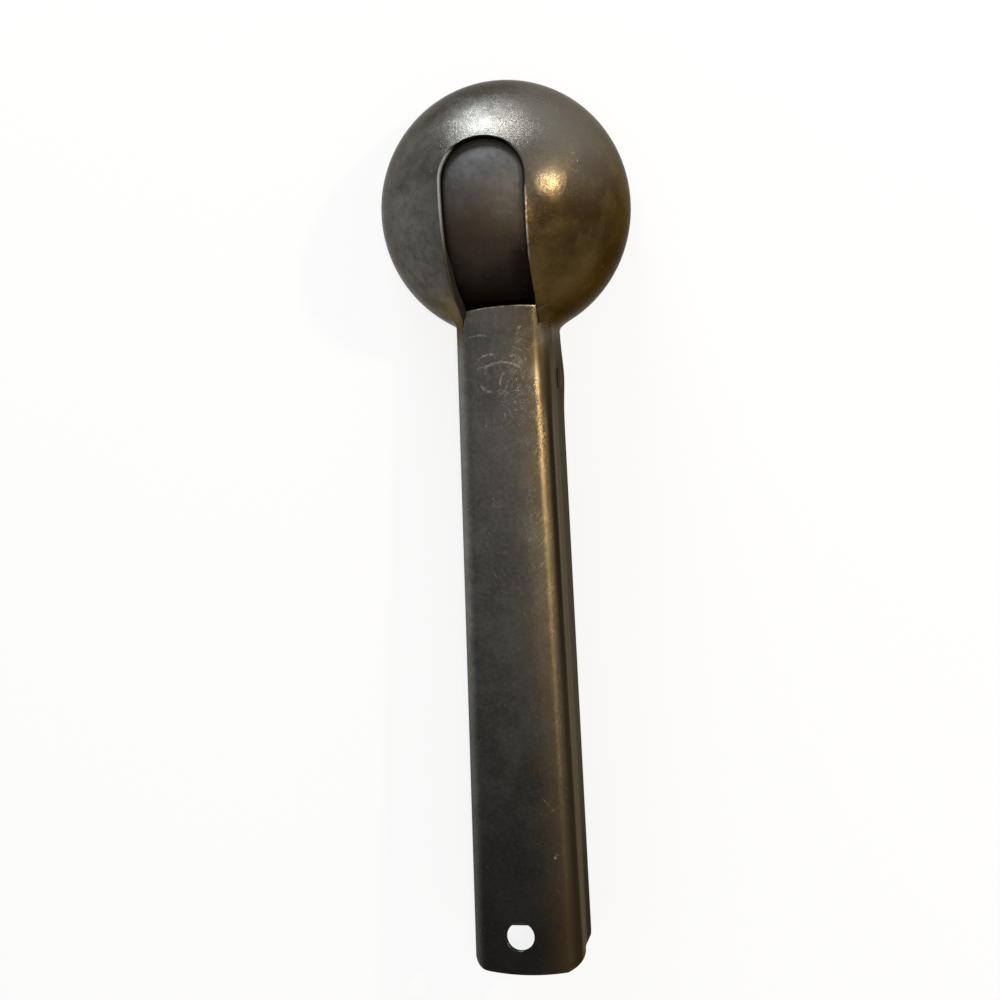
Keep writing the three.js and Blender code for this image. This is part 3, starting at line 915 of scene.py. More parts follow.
EDGE_STARTS = 8.0
EDGE_SPAN = 22.0


def mark_edges(piece):
    """Marks how sharply a piece stands out at each of its points, for the worn edges."""
    shape = bmesh.new()
    shape.from_mesh(piece.data)
    sharp = [max(edge.calc_face_angle_signed(0.0) for edge in point.link_edges) for point in shape.verts]
    shape.free()
    add_mark(piece.data, "edge", np.clip((np.degrees(sharp) - EDGE_STARTS) / EDGE_SPAN, 0, 1))
    return piece


# Squeeze lever.
LEVER_FRONT = TANG_FRONT - TANG_GAP
LEVER_REAR = -HANDLE_REACH + LEVER_STAND_BACK
LEVER_COLUMNS = 61
LEVER_ROWS = 161
PIN_HOLE_SIDES = 48
RIVET_HOLE_SIDES = 32
CUTTER_REACH = 3.0
WELD = 1e-6


def lever_bottom(y):
    """Height of the lever's lower face."""
    return LEVER_LIFT * (y - LEVER_REAR) / (LEVER_FRONT - LEVER_REAR)


def lever_sizes():
    """Sizes that the lever's tree takes, in metres."""
    front_half, rear_half = (half_width(y) - SHEET - SIDE_GAP for y in (LEVER_FRONT, LEVER_REAR))
    sizes = {
        "Front Y": LEVER_FRONT, "Rear Y": LEVER_REAR, "Pivot Y": PIVOT_Y, "Pivot Height": PIVOT_HEIGHT,
        "Front Half Width": front_half, "Rear Half Width": rear_half, "Front Lift": LEVER_LIFT,
        "Ear Height": EAR_HEIGHT, "Rear Height": LEVER_REAR_HEIGHT, "Bend": LEVER_BEND, "Sheet": LEVER_SHEET,
        "Slant Length": LEVER_SLANT_LENGTH, "Pin Hole": PIN_RADIUS + HOLE_GAP, "Frame Shift": FRAME_SHIFT_Y,
        "Rivet Hole": RIVET_RADIUS + HOLE_GAP, "Rivet Spread": RIVET_SPREAD, "Rivet Y": RIVET_Y,
    }
    return {name: value * MM for name, value in sizes.items()}


def lever_tree(names):
    """Channel open upward: a grid whose columns run round the section and whose rows run along the lever."""
    board, size, out = shape_group("Channel lever", **{name: "Float" for name in (*names, "Slant")})
    grid = board.add("GeometryNodeMeshGrid", {
        "Size X": 2.0, "Size Y": 2.0, "Vertices X": LEVER_COLUMNS, "Vertices Y": LEVER_ROWS,
    })
    across, row, _ = board.axes(board.add("GeometryNodeInputPosition").outputs[0])
    forward = (row + 1.0) / 2.0
    y = size["Rear Y"] + forward * (size["Front Y"] - size["Rear Y"])
    half = size["Rear Half Width"] + forward * (size["Front Half Width"] - size["Rear Half Width"])
    floor = forward * size["Front Lift"]
    past_pivot = ((y - size["Pivot Y"]) / (size["Front Y"] - size["Pivot Y"])).use("MAXIMUM", 0.0)
    behind = ((size["Pivot Y"] - y) / (size["Pivot Y"] - size["Rear Y"])).use("MAXIMUM", 0.0)
    round_ear = (1.0 - past_pivot * past_pivot * EAR_ROUNDING).use("SQRT")
    wall_top = size["Ear Height"] * round_ear + behind * (size["Rear Height"] - size["Ear Height"])
    flat = half - size["Bend"]
    bend_length = size["Bend"] * (math.pi / 2)
    wall = wall_top - floor - size["Bend"]
    along = across.use("ABSOLUTE") * (flat + bend_length + wall)
    turn = ((along - flat) / size["Bend"]).use("MAXIMUM", 0.0).use("MINIMUM", math.pi / 2)
    x = along.use("MINIMUM", flat) + size["Bend"] * turn.use("SINE")
    up_wall = (along - flat - bend_length).use("MAXIMUM", 0.0)
    rise = size["Bend"] - size["Bend"] * turn.use("COSINE") + up_wall
    near_end = ((size["Rear Y"] + size["Slant Length"] - y) / size["Slant Length"]).use("MAXIMUM", 0.0)
    slanted_y = y - rise * near_end * size["Slant"] + size["Frame Shift"]
    place = board.vector(x * across.use("SIGN"), slanted_y, floor + rise)
    bent = board.add("GeometryNodeSetPosition", {
        "Geometry": grid.outputs["Mesh"], "Position": place,
    }).outputs[0]
    thick = board.add("GeometryNodeExtrudeMesh", {
        "Mesh": bent, "Offset Scale": size["Sheet"], "Individual": False,
    }, mode="FACES")
    under = board.add("GeometryNodeFlipFaces", {0: bent})
    both = board.add("GeometryNodeJoinGeometry", {0: under.outputs[0]})
    feed(board.tree, both.inputs[0], thick.outputs["Mesh"])
    weld = board.add("GeometryNodeMergeByDistance", {"Geometry": both.outputs[0], "Distance": WELD})

    cut = board.add("GeometryNodeMeshBoolean", {"Mesh 1": weld.outputs[0]}, operation="DIFFERENCE")
    bore = board.add("GeometryNodeMeshCylinder", {
        "Vertices": PIN_HOLE_SIDES, "Radius": size["Pin Hole"],
        "Depth": size["Rear Half Width"] * CUTTER_REACH,
    })
    drill = board.add("GeometryNodeMeshCylinder", {
        "Vertices": RIVET_HOLE_SIDES, "Radius": size["Rivet Hole"],
        "Depth": (size["Front Lift"] + size["Sheet"]) * CUTTER_REACH,
    })
    pivot = board.vector(0.0, size["Pivot Y"] + size["Frame Shift"], size["Pivot Height"])
    rivet_y = size["Rivet Y"] + size["Frame Shift"]
    tools = [(bore, pivot, (0.0, math.pi / 2, 0.0))]
    for side in (-1.0, 1.0):
        tools.append((drill, board.vector(size["Rivet Spread"] * side, rivet_y, 0.0), (0.0, 0.0, 0.0)))
    for tool, spot, rotation in tools:
        moved = board.add("GeometryNodeTransform", {
            "Geometry": tool.outputs["Mesh"], "Translation": spot, "Rotation": rotation,
        })
        feed(board.tree, cut.inputs["Mesh 2"], moved.outputs[0])
    return close_shape(board, cut.outputs["Mesh"], size, out)


def squeeze_lever(material):
    """Lever nested under the handle."""
    sizes = lever_sizes()
    values = {**sizes, "Slant": LEVER_END_SLANT, "Material": material}
    lever = made_by(lever_tree(sizes), "squeeze_channel", new_mesh("lever_base", []), values)
    return mark_edges(rounded(lever, LEVER_ARRIS, segments=3, angle=40))


# Return spring.
COIL_POINTS = 200
LEG_POINTS = 24
WIRE_SIDES = 16


def wire_tree():
    """Round wire along a path."""
    board, given, out = shape_group("Wire along a path", **{"Wire Radius": "Float", "Sides": "Int"})
    ring = board.add("GeometryNodeCurvePrimitiveCircle", {
        "Radius": given["Wire Radius"], "Resolution": given["Sides"],
    })
    path = board.add("GeometryNodeMeshToCurve", {"Mesh": given["Geometry"]})
    sweep = board.add("GeometryNodeCurveToMesh", {
        "Curve": path.outputs["Curve"], "Profile Curve": ring.outputs["Curve"], "Fill Caps": True,
    })
    soft = board.add("GeometryNodeSetShadeSmooth", {"Geometry": sweep.outputs["Mesh"]})
    return close_shape(board, soft.outputs["Geometry"], given, out)


def spring_line():
    """Middle line of the return spring: a leg under the web, the coil round the pin, a leg on the lever."""
    coil = PIN_RADIUS + COIL_GAP + WIRE_RADIUS
    far_y = PIVOT_Y - LEG_REACH
    up_z = web_top(far_y) - SHEET - LEG_GAP - WIRE_RADIUS
    down_z = LEVER_FLOOR + LEG_GAP + WIRE_RADIUS

    def leaving(height):
        """Turn of the coil at which a straight leg leaves it."""
        return math.atan2(height, LEG_REACH) - math.asin(coil / math.hypot(height, LEG_REACH))

    start = leaving(up_z - PIVOT_HEIGHT)
    stop = 2 * math.pi * COIL_TURNS + math.pi - leaving(PIVOT_HEIGHT - down_z)
    length = COIL_PITCH * (stop - start) / (2 * math.pi)
    turn = np.linspace(start, stop, COIL_POINTS)
    wound = np.column_stack([
        -length / 2 + COIL_PITCH * (turn - start) / (2 * math.pi),
        PIVOT_Y + coil * np.sin(turn),
        PIVOT_HEIGHT + coil * np.cos(turn),
    ])
    share = np.linspace(0, 1, LEG_POINTS)[:, None]
    first = np.array([-length / 2, far_y, up_z])
    last = np.array([length / 2, far_y, down_z])
    leg_up = first + (wound[0] - first) * share[:-1]
    leg_down = wound[-1] + (last - wound[-1]) * share[1:]
    return np.vstack([leg_up, wound, leg_down]), length


def return_spring(material):
    """Torsion spring on the pin."""
    line, length = spring_line()
    path = new_mesh("spring_path", to_frame(line), [(i, i + 1) for i in range(len(line) - 1)])
    values = {"Wire Radius": WIRE_RADIUS * MM, "Sides": WIRE_SIDES, "Material": material}
    return made_by(wire_tree(), "torsion_spring", path, values), length


# Turned pieces: rivets and pin.
RIVET_SIDES = 40
PIN_SIDES = 48
RIVET_WOBBLE = 0.012
PIN_WOBBLE = 0.015
SHARP_ANGLE = math.radians(50)
HEAD_STEPS = 10
HEAD_TOP_SHARE = 0.06


def turned(profile, segments, wobble):
    """Points and faces of a profile of radius and height, turned about the upright axis with a wobble."""
    turn = np.linspace(0, 2 * math.pi, segments + 1)[:-1]
    points = []
    for radius, height in profile:
        reach = radius * (1 + wobble * np.sin(3 * turn + 4 * height) + wobble * np.sin(7 * turn) / 2)
        ring = [reach * np.cos(turn), reach * np.sin(turn), np.full(segments, height)]
        points.append(np.column_stack(ring))
    faces = []
    for i in range(len(profile) - 1):
        low = np.arange(segments) + i * segments
        high = low + segments
        faces += np.column_stack([low, np.roll(low, -1), np.roll(high, -1), high]).tolist()
    last = (len(profile) - 1) * segments
    faces.append(list(range(segments))[::-1])
    faces.append(list(range(last, last + segments)))
    return np.vstack(points), faces


def dome_profile(radius, seat, height, edge):
    """Rounded head from its seat to its top."""
    turn = np.linspace(0, math.pi / 2, HEAD_STEPS)[1:-1]
    rim = [(radius - edge / 2, seat), (radius, seat + edge / 2)]
    crown = [(radius * math.cos(a), seat + edge / 2 + (height - edge / 2) * math.sin(a)) for a in turn]
    return rim + crown + [(radius * HEAD_TOP_SHARE, seat + height)]


def turned_mesh(name, points, faces):
    """Mesh of a turned piece, with its sharp edges kept."""
    mesh = new_mesh(name, points, (), faces)
    mesh.set_sharp_from_angle(angle=SHARP_ANGLE)
    return mesh


def rivet_tree():
    """One rivet on each point."""
    board, given, out = shape_group("Rivets on points", Rivet="Object")
    form = board.add("GeometryNodeObjectInfo", {"Object": given["Rivet"]})
    spread = board.add("GeometryNodeInstanceOnPoints", {
        "Points": given["Geometry"], "Instance": form.outputs["Geometry"],
    })
    return close_shape(board, spread.outputs["Instances"], given, out)


def blade_rivets(material):
    """Both rivets that hold the blade's tang on the lever."""
    under = lever_bottom(RIVET_Y) - HEAD_GAP
    seat = TANG_TOP + HEAD_GAP
    tail = RIVET_TAIL_RADIUS
    profile = [
        (tail * 0.1, under - RIVET_TAIL_HEIGHT),
        (tail * 0.85, under - RIVET_TAIL_HEIGHT),
        (tail, under - RIVET_TAIL_HEIGHT * 0.6),
        (tail * 0.97, under),
        (RIVET_RADIUS, under),
        (RIVET_RADIUS, seat),
    ]
    profile += dome_profile(RIVET_HEAD_RADIUS, seat, RIVET_HEAD_HEIGHT, RIVET_HEAD_EDGE)
    points, faces = turned(profile, RIVET_SIDES, RIVET_WOBBLE)
    form = placed("rivet_form", turned_mesh("rivet_form", points * MM, faces))
    seats = new_mesh("rivet_seats", to_frame([(-RIVET_SPREAD, RIVET_Y, 0), (RIVET_SPREAD, RIVET_Y, 0)]))
    rivets = made_by(rivet_tree(), "tang_rivets", seats, {"Rivet": form, "Material": material})
    bpy.data.objects.remove(form)
    return mark_edges(rivets)


def pivot_pin():
    """Pin across the handle, peened over at both ends."""
    face = half_width(PIVOT_Y) + HEAD_GAP
    half = [(PIN_RADIUS, face - PIN_HEAD_NECK)]
    half += dome_profile(PIN_HEAD_RADIUS, face, PIN_HEAD_HEIGHT, PIN_HEAD_EDGE)
    other = [(radius, -height) for radius, height in reversed(half)]
    points, faces = turned(other + half, PIN_SIDES, PIN_WOBBLE)
    laid = np.column_stack([points[:, 2], points[:, 1] + PIVOT_Y, PIVOT_HEIGHT - points[:, 0]])
    return mark_edges(placed("hinge_pin", turned_mesh("hinge_pin", to_frame(laid), faces)))


# Effects that the materials share.
def effect_group(name, takes, gives):
    """Shader node group that takes a place and numbers, and gives numbers."""
    takes = {"Vector": "Vector", **{socket: "Float" for socket in takes}}
    return new_group("ShaderNodeTree", name, takes, {socket: "Float" for socket in gives})


def give(board, out, **values):
    """Joins values to the outputs of a group."""
    for name, value in values.items():
        feed(board.tree, out.inputs[name], value)
    return board.tree


def blotch_group():
    """Cloudy film in two sizes."""
    board, given, out = effect_group("Film blotches", ("Large", "Small"), ("Cloud", "Mottle"))
    large = board.noise(given["Vector"], given["Large"], 4.0, 0.6, 0.3)
    small = board.noise(given["Vector"], given["Small"], 5.0, 0.65, 0.2)
    return give(board, out, Cloud=board.ramp(large, (0.36, 0.64)), Mottle=board.ramp(small, (0.34, 0.68)))


def pit_group():
    """Dark pits, pale specks and the height of a grainy surface."""
    board, given, out = effect_group("Pits and specks", ("Size", "Amount"), ("Pits", "Specks", "Height"))
    vector = given["Vector"]
    grain = board.noise(vector, given["Size"], 4.0, 0.72)
    patchy = board.ramp(board.noise(vector, given["Size"] * 0.09, 2.0, 0.5), (0.42, 0.66))
    cells = board.add("ShaderNodeTexVoronoi", {
        "Vector": vector, "Scale": given["Size"] * 0.6, "Randomness": 1.0,
    })
    shade = board.add("ShaderNodeSeparateColor", {0: cells.outputs["Color"]}).outputs[0]
    strength = given["Amount"] * (patchy * 0.85 + 0.15)
    pits = board.ramp(cells.outputs["Distance"], (0.36, 0.08)) * board.ramp(shade, (0.6, 0.75)) * strength
    specks = board.ramp(board.noise(vector, given["Size"] * 2.6, 2.0, 0.6), (0.6, 0.74)) * strength
    return give(board, out, Pits=pits, Specks=specks, Height=grain * 0.5 - pits * 0.35)


def scratch_group():
    """Fine hair scratches that run one way, and the grain that they are cut from."""
    takes = ("Angle", "Fineness", "Density", "Shortness")
    board, given, out = effect_group("Hair scratches", takes, ("Lines", "Grain"))
    turned_vector = board.add("ShaderNodeVectorRotate", {
        "Vector": given["Vector"], "Angle": given["Angle"],
    }, rotation_type="Z_AXIS").outputs[0]
    squeeze = board.vector(given["Shortness"], 1.0, 1.0)
    stretched = board.add("ShaderNodeVectorMath", {0: turned_vector, 1: squeeze}, operation="MULTIPLY")
    grain = board.noise(stretched.outputs[0], given["Fineness"], 2.0, 0.6)
    limit = 0.72 - given["Density"] * 0.2
    shown = board.ramp(board.noise(given["Vector"], given["Fineness"] * 0.05, 2.0, 0.5), (0.42, 0.6))
    return give(board, out, Lines=board.ramp(grain, (limit, limit + 0.08)) * shown, Grain=grain)


def wear_group():
    """Bare metal along the edges, broken up."""
    board, given, out = effect_group("Edge wear", ("Edge", "Amount"), ("Bare",))
    broken = board.noise(given["Vector"], 900.0, 3.0, 0.6)
    long_break = board.noise(given["Vector"], 130.0, 2.0, 0.5)
    reach = given["Edge"] * (broken * 0.7 + 0.55) * (long_break * 1.2 + 0.35)
    return give(board, out, Bare=board.ramp(reach, (0.5, 0.95)) * given["Amount"])


def stroke_group():
    """One curved scuff in the plane of the web."""
    takes = ("Middle X", "Middle Y", "Radius", "Facing", "Spread", "Width")
    board, given, out = effect_group("Scuff stroke", takes, ("Stroke",))
    place_x, place_y, _ = board.axes(given["Vector"])
    x = place_x - given["Middle X"]
    y = place_y - given["Middle Y"]
    ragged = board.noise(given["Vector"], 1500.0, 3.0, 0.7) * 0.0009 - 0.00045
    off = ((x * x + y * y).use("SQRT") + ragged - given["Radius"]).use("ABSOLUTE")
    line = board.ramp(off / given["Width"], (1.0, 0.2))
    turn = (y.use("ARCTAN2", x) - given["Facing"]).use("WRAP", math.pi, -math.pi)
    ends = board.ramp(turn.use("ABSOLUTE") / given["Spread"], (1.0, 0.65))
    broken = board.ramp(board.noise(given["Vector"], 2600.0, 2.0, 0.6), (0.38, 0.58))
    return give(board, out, Stroke=line * ends * broken)


BLOTCHES = blotch_group()
PITS = pit_group()
SCRATCHES = scratch_group()
WEAR = wear_group()
STROKE = stroke_group()

# Tints as linear red, green and blue.
EDGE_TINT = (0.45, 0.43, 0.4)
# Painted shadow: near-black for the shaded arch wall of the window's cut and for the shadows on the blade.
PAINTED_SHADOW = (0.006, 0.005, 0.004)
SPECK = (0.17, 0.16, 0.14)
PIT = (0.014, 0.012, 0.01)
HAIR = (0.24, 0.23, 0.2)
SCUFF = (0.3, 0.3, 0.305)
SCUFF_HAIR = (0.3, 0.29, 0.265)
BARE_BODY = (0.5, 0.46, 0.39)
BARE_BLADE = (0.25, 0.23, 0.2)
BARE_SMALL = (0.33, 0.31, 0.27)
BARE_PIN = (0.12, 0.105, 0.08)
FILM_DARK = (0.052, 0.027, 0.006)
FILM_LIGHT = (0.145, 0.087, 0.021)
LOW_RIGHT = (0.026, 0.0165, 0.007)
TOP_RIGHT = (0.205, 0.185, 0.155)
FRONT_WEB = (0.18, 0.176, 0.165)
PALE_GRAIN = (0.21, 0.2, 0.18)
DIM_GRAIN = (0.06, 0.058, 0.054)
WARM_WEB = (0.108, 0.077, 0.042)
# Painted shade: the web darkened toward the rear, warmer on its right.
REAR_SHADE = (0.015, 0.0135, 0.012)
REAR_SHADE_WARM = (0.042, 0.029, 0.015)
NECK = (0.06, 0.05, 0.036)
# Painted highlight: gold tint of the warm lamp's highlight along the right bend, and the brush lines within
# it.
GOLD_HIGHLIGHT = (0.15, 0.113, 0.06)
GOLD_HIGHLIGHT_LINES = (0.36, 0.29, 0.17)
# Painted highlight: pale spot on the bend.
PAINTED_GLINT = (0.42, 0.385, 0.31)
# Brush scratches along the bend, tinted gold as a painted sheen.
SHEEN_BRUSH_LINES = (0.22, 0.172, 0.104)
# Painted reflection: dark strip along the right bend, darkest toward the front.
DARK_REFLECTION = (0.012, 0.0085, 0.004)
DARK_REFLECTION_REAR = (0.026, 0.018, 0.009)
NECK_SHADE = (0.03, 0.023, 0.012)
# Painted sheen: paler grey on the left bend and flange, brighter toward the front.
LEFT_SHEEN = (0.17, 0.168, 0.158)
LEFT_SHEEN_FRONT = (0.25, 0.247, 0.233)
# Right flange: its brown tone, lightened as painted light.
LIT_FLANGE = (0.105, 0.085, 0.054)
LIT_FLANGE_REAR = (0.11, 0.09, 0.06)
# Painted shade: darker lower part of the right flange, darkest toward the rear.
SHADED_LOW_FLANGE = (0.03, 0.024, 0.015)
SHADED_LOW_FLANGE_REAR = (0.01, 0.008, 0.005)
INSIDE = (0.035, 0.03, 0.024)
# Window's left wall: painted shade on its lower part, painted light on its upper part.
SHADED_LEFT_WALL = (0.07, 0.06, 0.046)
LIT_LEFT_WALL_TOP = (0.22, 0.23, 0.25)
BLADE_BROWN = (0.056, 0.042, 0.03)
# Painted shade: near-black foot of the blade, deep under the tab.
BLADE_FOOT_SHADE = (0.009, 0.006, 0.004)

POLISHED_SPOT = tuple(to_frame([14.5, 4.2, 24.3]))
FILM_LEAN = 0.9
BODY_BUMP = 0.00016
SMALL_BUMP = 0.0001


class Steel:
    """Aged steel being built: its colour, roughness and height so far, and its place in millimetres."""

    def __init__(self, name, light, dark, rough):
        self.material = bpy.data.materials.new(name)
        self.material.use_nodes = True
        self.board = Board(self.material.node_tree)
        self.shader = self.material.node_tree.nodes["Principled BSDF"]
        self.shader.inputs["Metallic"].default_value = 1.0
        self.shader.inputs["Specular Tint"].default_value = rgba(EDGE_TINT)
        self.vector = self.board.add("ShaderNodeTexCoord").outputs["Object"]
        x, y, _ = self.board.axes(self.vector)
        self.across = x / MM
        self.along = y / MM
        self.cloud = self.board.group(BLOTCHES, Vector=self.vector, Large=75.0, Small=420.0)
        tone = self.cloud["Mottle"] * 0.45 + self.cloud["Cloud"] * 0.55
        self.tint = self.board.mix(tone, dark, light)
        self.rough = rough + 0.02 - self.cloud["Mottle"] * 0.04
        self.height = None

    def mark(self, name):
        """Value of a named mark on the mesh."""
        node = self.board.add("ShaderNodeAttribute", attribute_name=name)
        return Formula(self.board.tree, node.outputs["Fac"])

    def drift(self, scale, reach):
        """Slow wandering of a border, in millimetres to both sides."""
        return self.board.noise(self.vector, scale, 3.0, 0.6) * (2 * reach) - reach

    def cover(self, mask, tint, share=1.0, rough=None):
        """Lays a colour, and its roughness, over a share of a masked place."""
        covered = mask * share
        self.tint = self.board.mix(covered, self.tint, tint)
        if rough is not None:
            self.rough = (1.0 - covered) * self.rough + covered * rough

    def raise_by(self, height):
        """Adds to the height of the surface."""
        self.height = self.height + height if self.height else height

    def scratches(self, angle, fineness, density, shortness):
        """Hair scratches that run one way."""
        inputs = {"Angle": angle, "Fineness": fineness, "Density": density, "Shortness": shortness}
        return self.board.group(SCRATCHES, Vector=self.vector, **inputs)

    def wear(self, pit_amount, bare_tint, bare_amount, pit_size=1900.0):
        """Pits, specks, hair scratches and worn edges that all the pieces share."""
        pits = self.board.group(PITS, Vector=self.vector, Size=pit_size, Amount=pit_amount)
        self.cover(pits["Specks"], SPECK, share=0.4)
        self.cover(pits["Pits"], PIT, share=0.7, rough=0.6)
        self.raise_by(pits["Height"])
        for angle, fineness, density in ((0.9, 2400.0, 0.35), (-0.5, 1800.0, 0.2)):
            lines = self.scratches(angle, fineness, density, shortness=0.06)["Lines"]
            self.cover(lines, HAIR, share=0.3, rough=0.28)
            self.raise_by(lines * -0.1)
        bare = self.board.group(WEAR, Vector=self.vector, Edge=self.mark("edge"), Amount=bare_amount)["Bare"]
        self.cover(bare, bare_tint, rough=0.34)

    def done(self, depth):
        """Joins everything to the shader."""
        bump = self.board.add("ShaderNodeBump", {"Strength": 1.0, "Distance": depth, "Height": self.height})
        values = {"Base Color": self.tint, "Roughness": self.rough, "Normal": bump.outputs[0]}
        for name, value in values.items():
            feed(self.board.tree, self.shader.inputs[name], value)
        return self.material


# Scuffs on the web: middle x and y, radius, facing, half spread and strength, in millimetres and radians.
SCUFFS = (
    (-2.4, 34.8, 4.8, 2.0, 0.6, 0.7),
    (-0.2, 30.6, 7.2, 1.55, 0.7, 1.0),
    (2.5, 33.2, 3.1, 2.8, 0.6, 0.7),
    (-5.0, 38.6, 5.4, 1.65, 0.5, 0.5),
    (2.8, 36.6, 2.5, 1.45, 0.55, 0.8),
    (-2.3, 34.4, 3.2, -2.2, 0.55, 0.6),
    (-3.6, 34.1, 3.0, 2.0, 0.55, 0.5),
    (5.7, 44.0, 2.0, 2.4, 0.3, 0.9),
    (8.6, -8.9, 2.0, 2.4, 0.45, 0.9),
    (8.9, -75.0, 2.0, 2.4, 0.4, 0.8),
    (-3.6, 23.1, 1.0, 2.4, 0.3, 1.0),
)
SCUFF_WIDTH = 0.34
HAIRS_MIDDLE = (2.0, 33.0)
HAIRS_SQUEEZE = 1.4


def scuffs(steel, web):
    """Pale curved scuffs and fine hairs, most of them near the neck."""
    board = steel.board
    for x, y, radius, facing, spread, strength in SCUFFS:
        sizes = {"Middle X": x, "Middle Y": y, "Radius": radius, "Width": SCUFF_WIDTH}
        sizes = {name: size * MM for name, size in sizes.items()}
        stroke = board.group(STROKE, Vector=steel.vector, Facing=facing, Spread=spread, **sizes)["Stroke"]
        steel.cover(stroke * web, SCUFF, share=strength, rough=0.6)
    x = (steel.across - HAIRS_MIDDLE[0]) * HAIRS_SQUEEZE
    y = steel.along - HAIRS_MIDDLE[1]
    near = board.ramp((x * x + y * y).use("SQRT"), (17, 4))
    hairy = near.use("MAXIMUM", board.ramp(steel.along, (-40, 10)) * 0.3) * web
    for angle, fineness in ((0.4, 3000.0), (-0.7, 2700.0), (1.3, 3300.0)):
        hairs = steel.scratches(angle, fineness, density=0.72, shortness=0.22)["Lines"]
        steel.cover(hairs * hairy, SCUFF_HAIR, share=0.75)


def bowl_finish(steel, on_bowl, drift):
    """Brown film on the bowl's right and a polished spot: gives the spot and the calm ground round it."""
    board = steel.board
    aside = steel.across - (steel.along - FRAME_SHIFT_Y) * FILM_LEAN + drift
    film = board.mix(steel.cloud["Cloud"], FILM_DARK, FILM_LIGHT)
    steel.cover(board.ramp(aside, (-6, 22)) * on_bowl, film, share=0.93)
    steel.cover(board.ramp(aside, (14, 40)) * on_bowl, LOW_RIGHT, share=0.8)
    top_right = board.ramp(steel.across, (0, 12)) * board.ramp(steel.along, (68, 90)) * on_bowl
    steel.cover(top_right, TOP_RIGHT, share=0.55)
    spot = board.add("ShaderNodeVectorMath", {0: steel.vector, 1: POLISHED_SPOT}, operation="DISTANCE")
    off = Formula(board.tree, spot.outputs["Value"]) / MM
    polished = board.ramp(off, (6.2, 1.2)) * on_bowl
    steel.rough = steel.rough - polished * 0.09
    return polished, board.ramp(off, (12, 4)) * on_bowl


def web_finish(steel, handle, drift):
    """Clouded web: pale toward the front, warm on the right, darkened toward the rear by painted shade."""
    board = steel.board
    steel.rough = steel.rough - handle * 0.03
    steel.cover(board.ramp(steel.along, (-30, 15)) * handle, FRONT_WEB, share=0.3)
    grain = board.noise(steel.vector, 1300.0, 2.0, 0.5)
    steel.cover(board.ramp(grain, (0.52, 0.72)) * handle, PALE_GRAIN, share=0.3)
    steel.cover(board.ramp(grain, (0.48, 0.3)) * handle, DIM_GRAIN, share=0.35)
    warm = board.ramp(steel.across + drift, (1, 9)) * handle
    steel.cover(warm, WARM_WEB, share=0.55)
    # Web darkened toward the rear as painted shade.
    rear_shade = board.mix(warm, REAR_SHADE, REAR_SHADE_WARM)
    steel.cover(board.ramp(steel.along, (8, -112)) * handle, rear_shade, share=0.9)


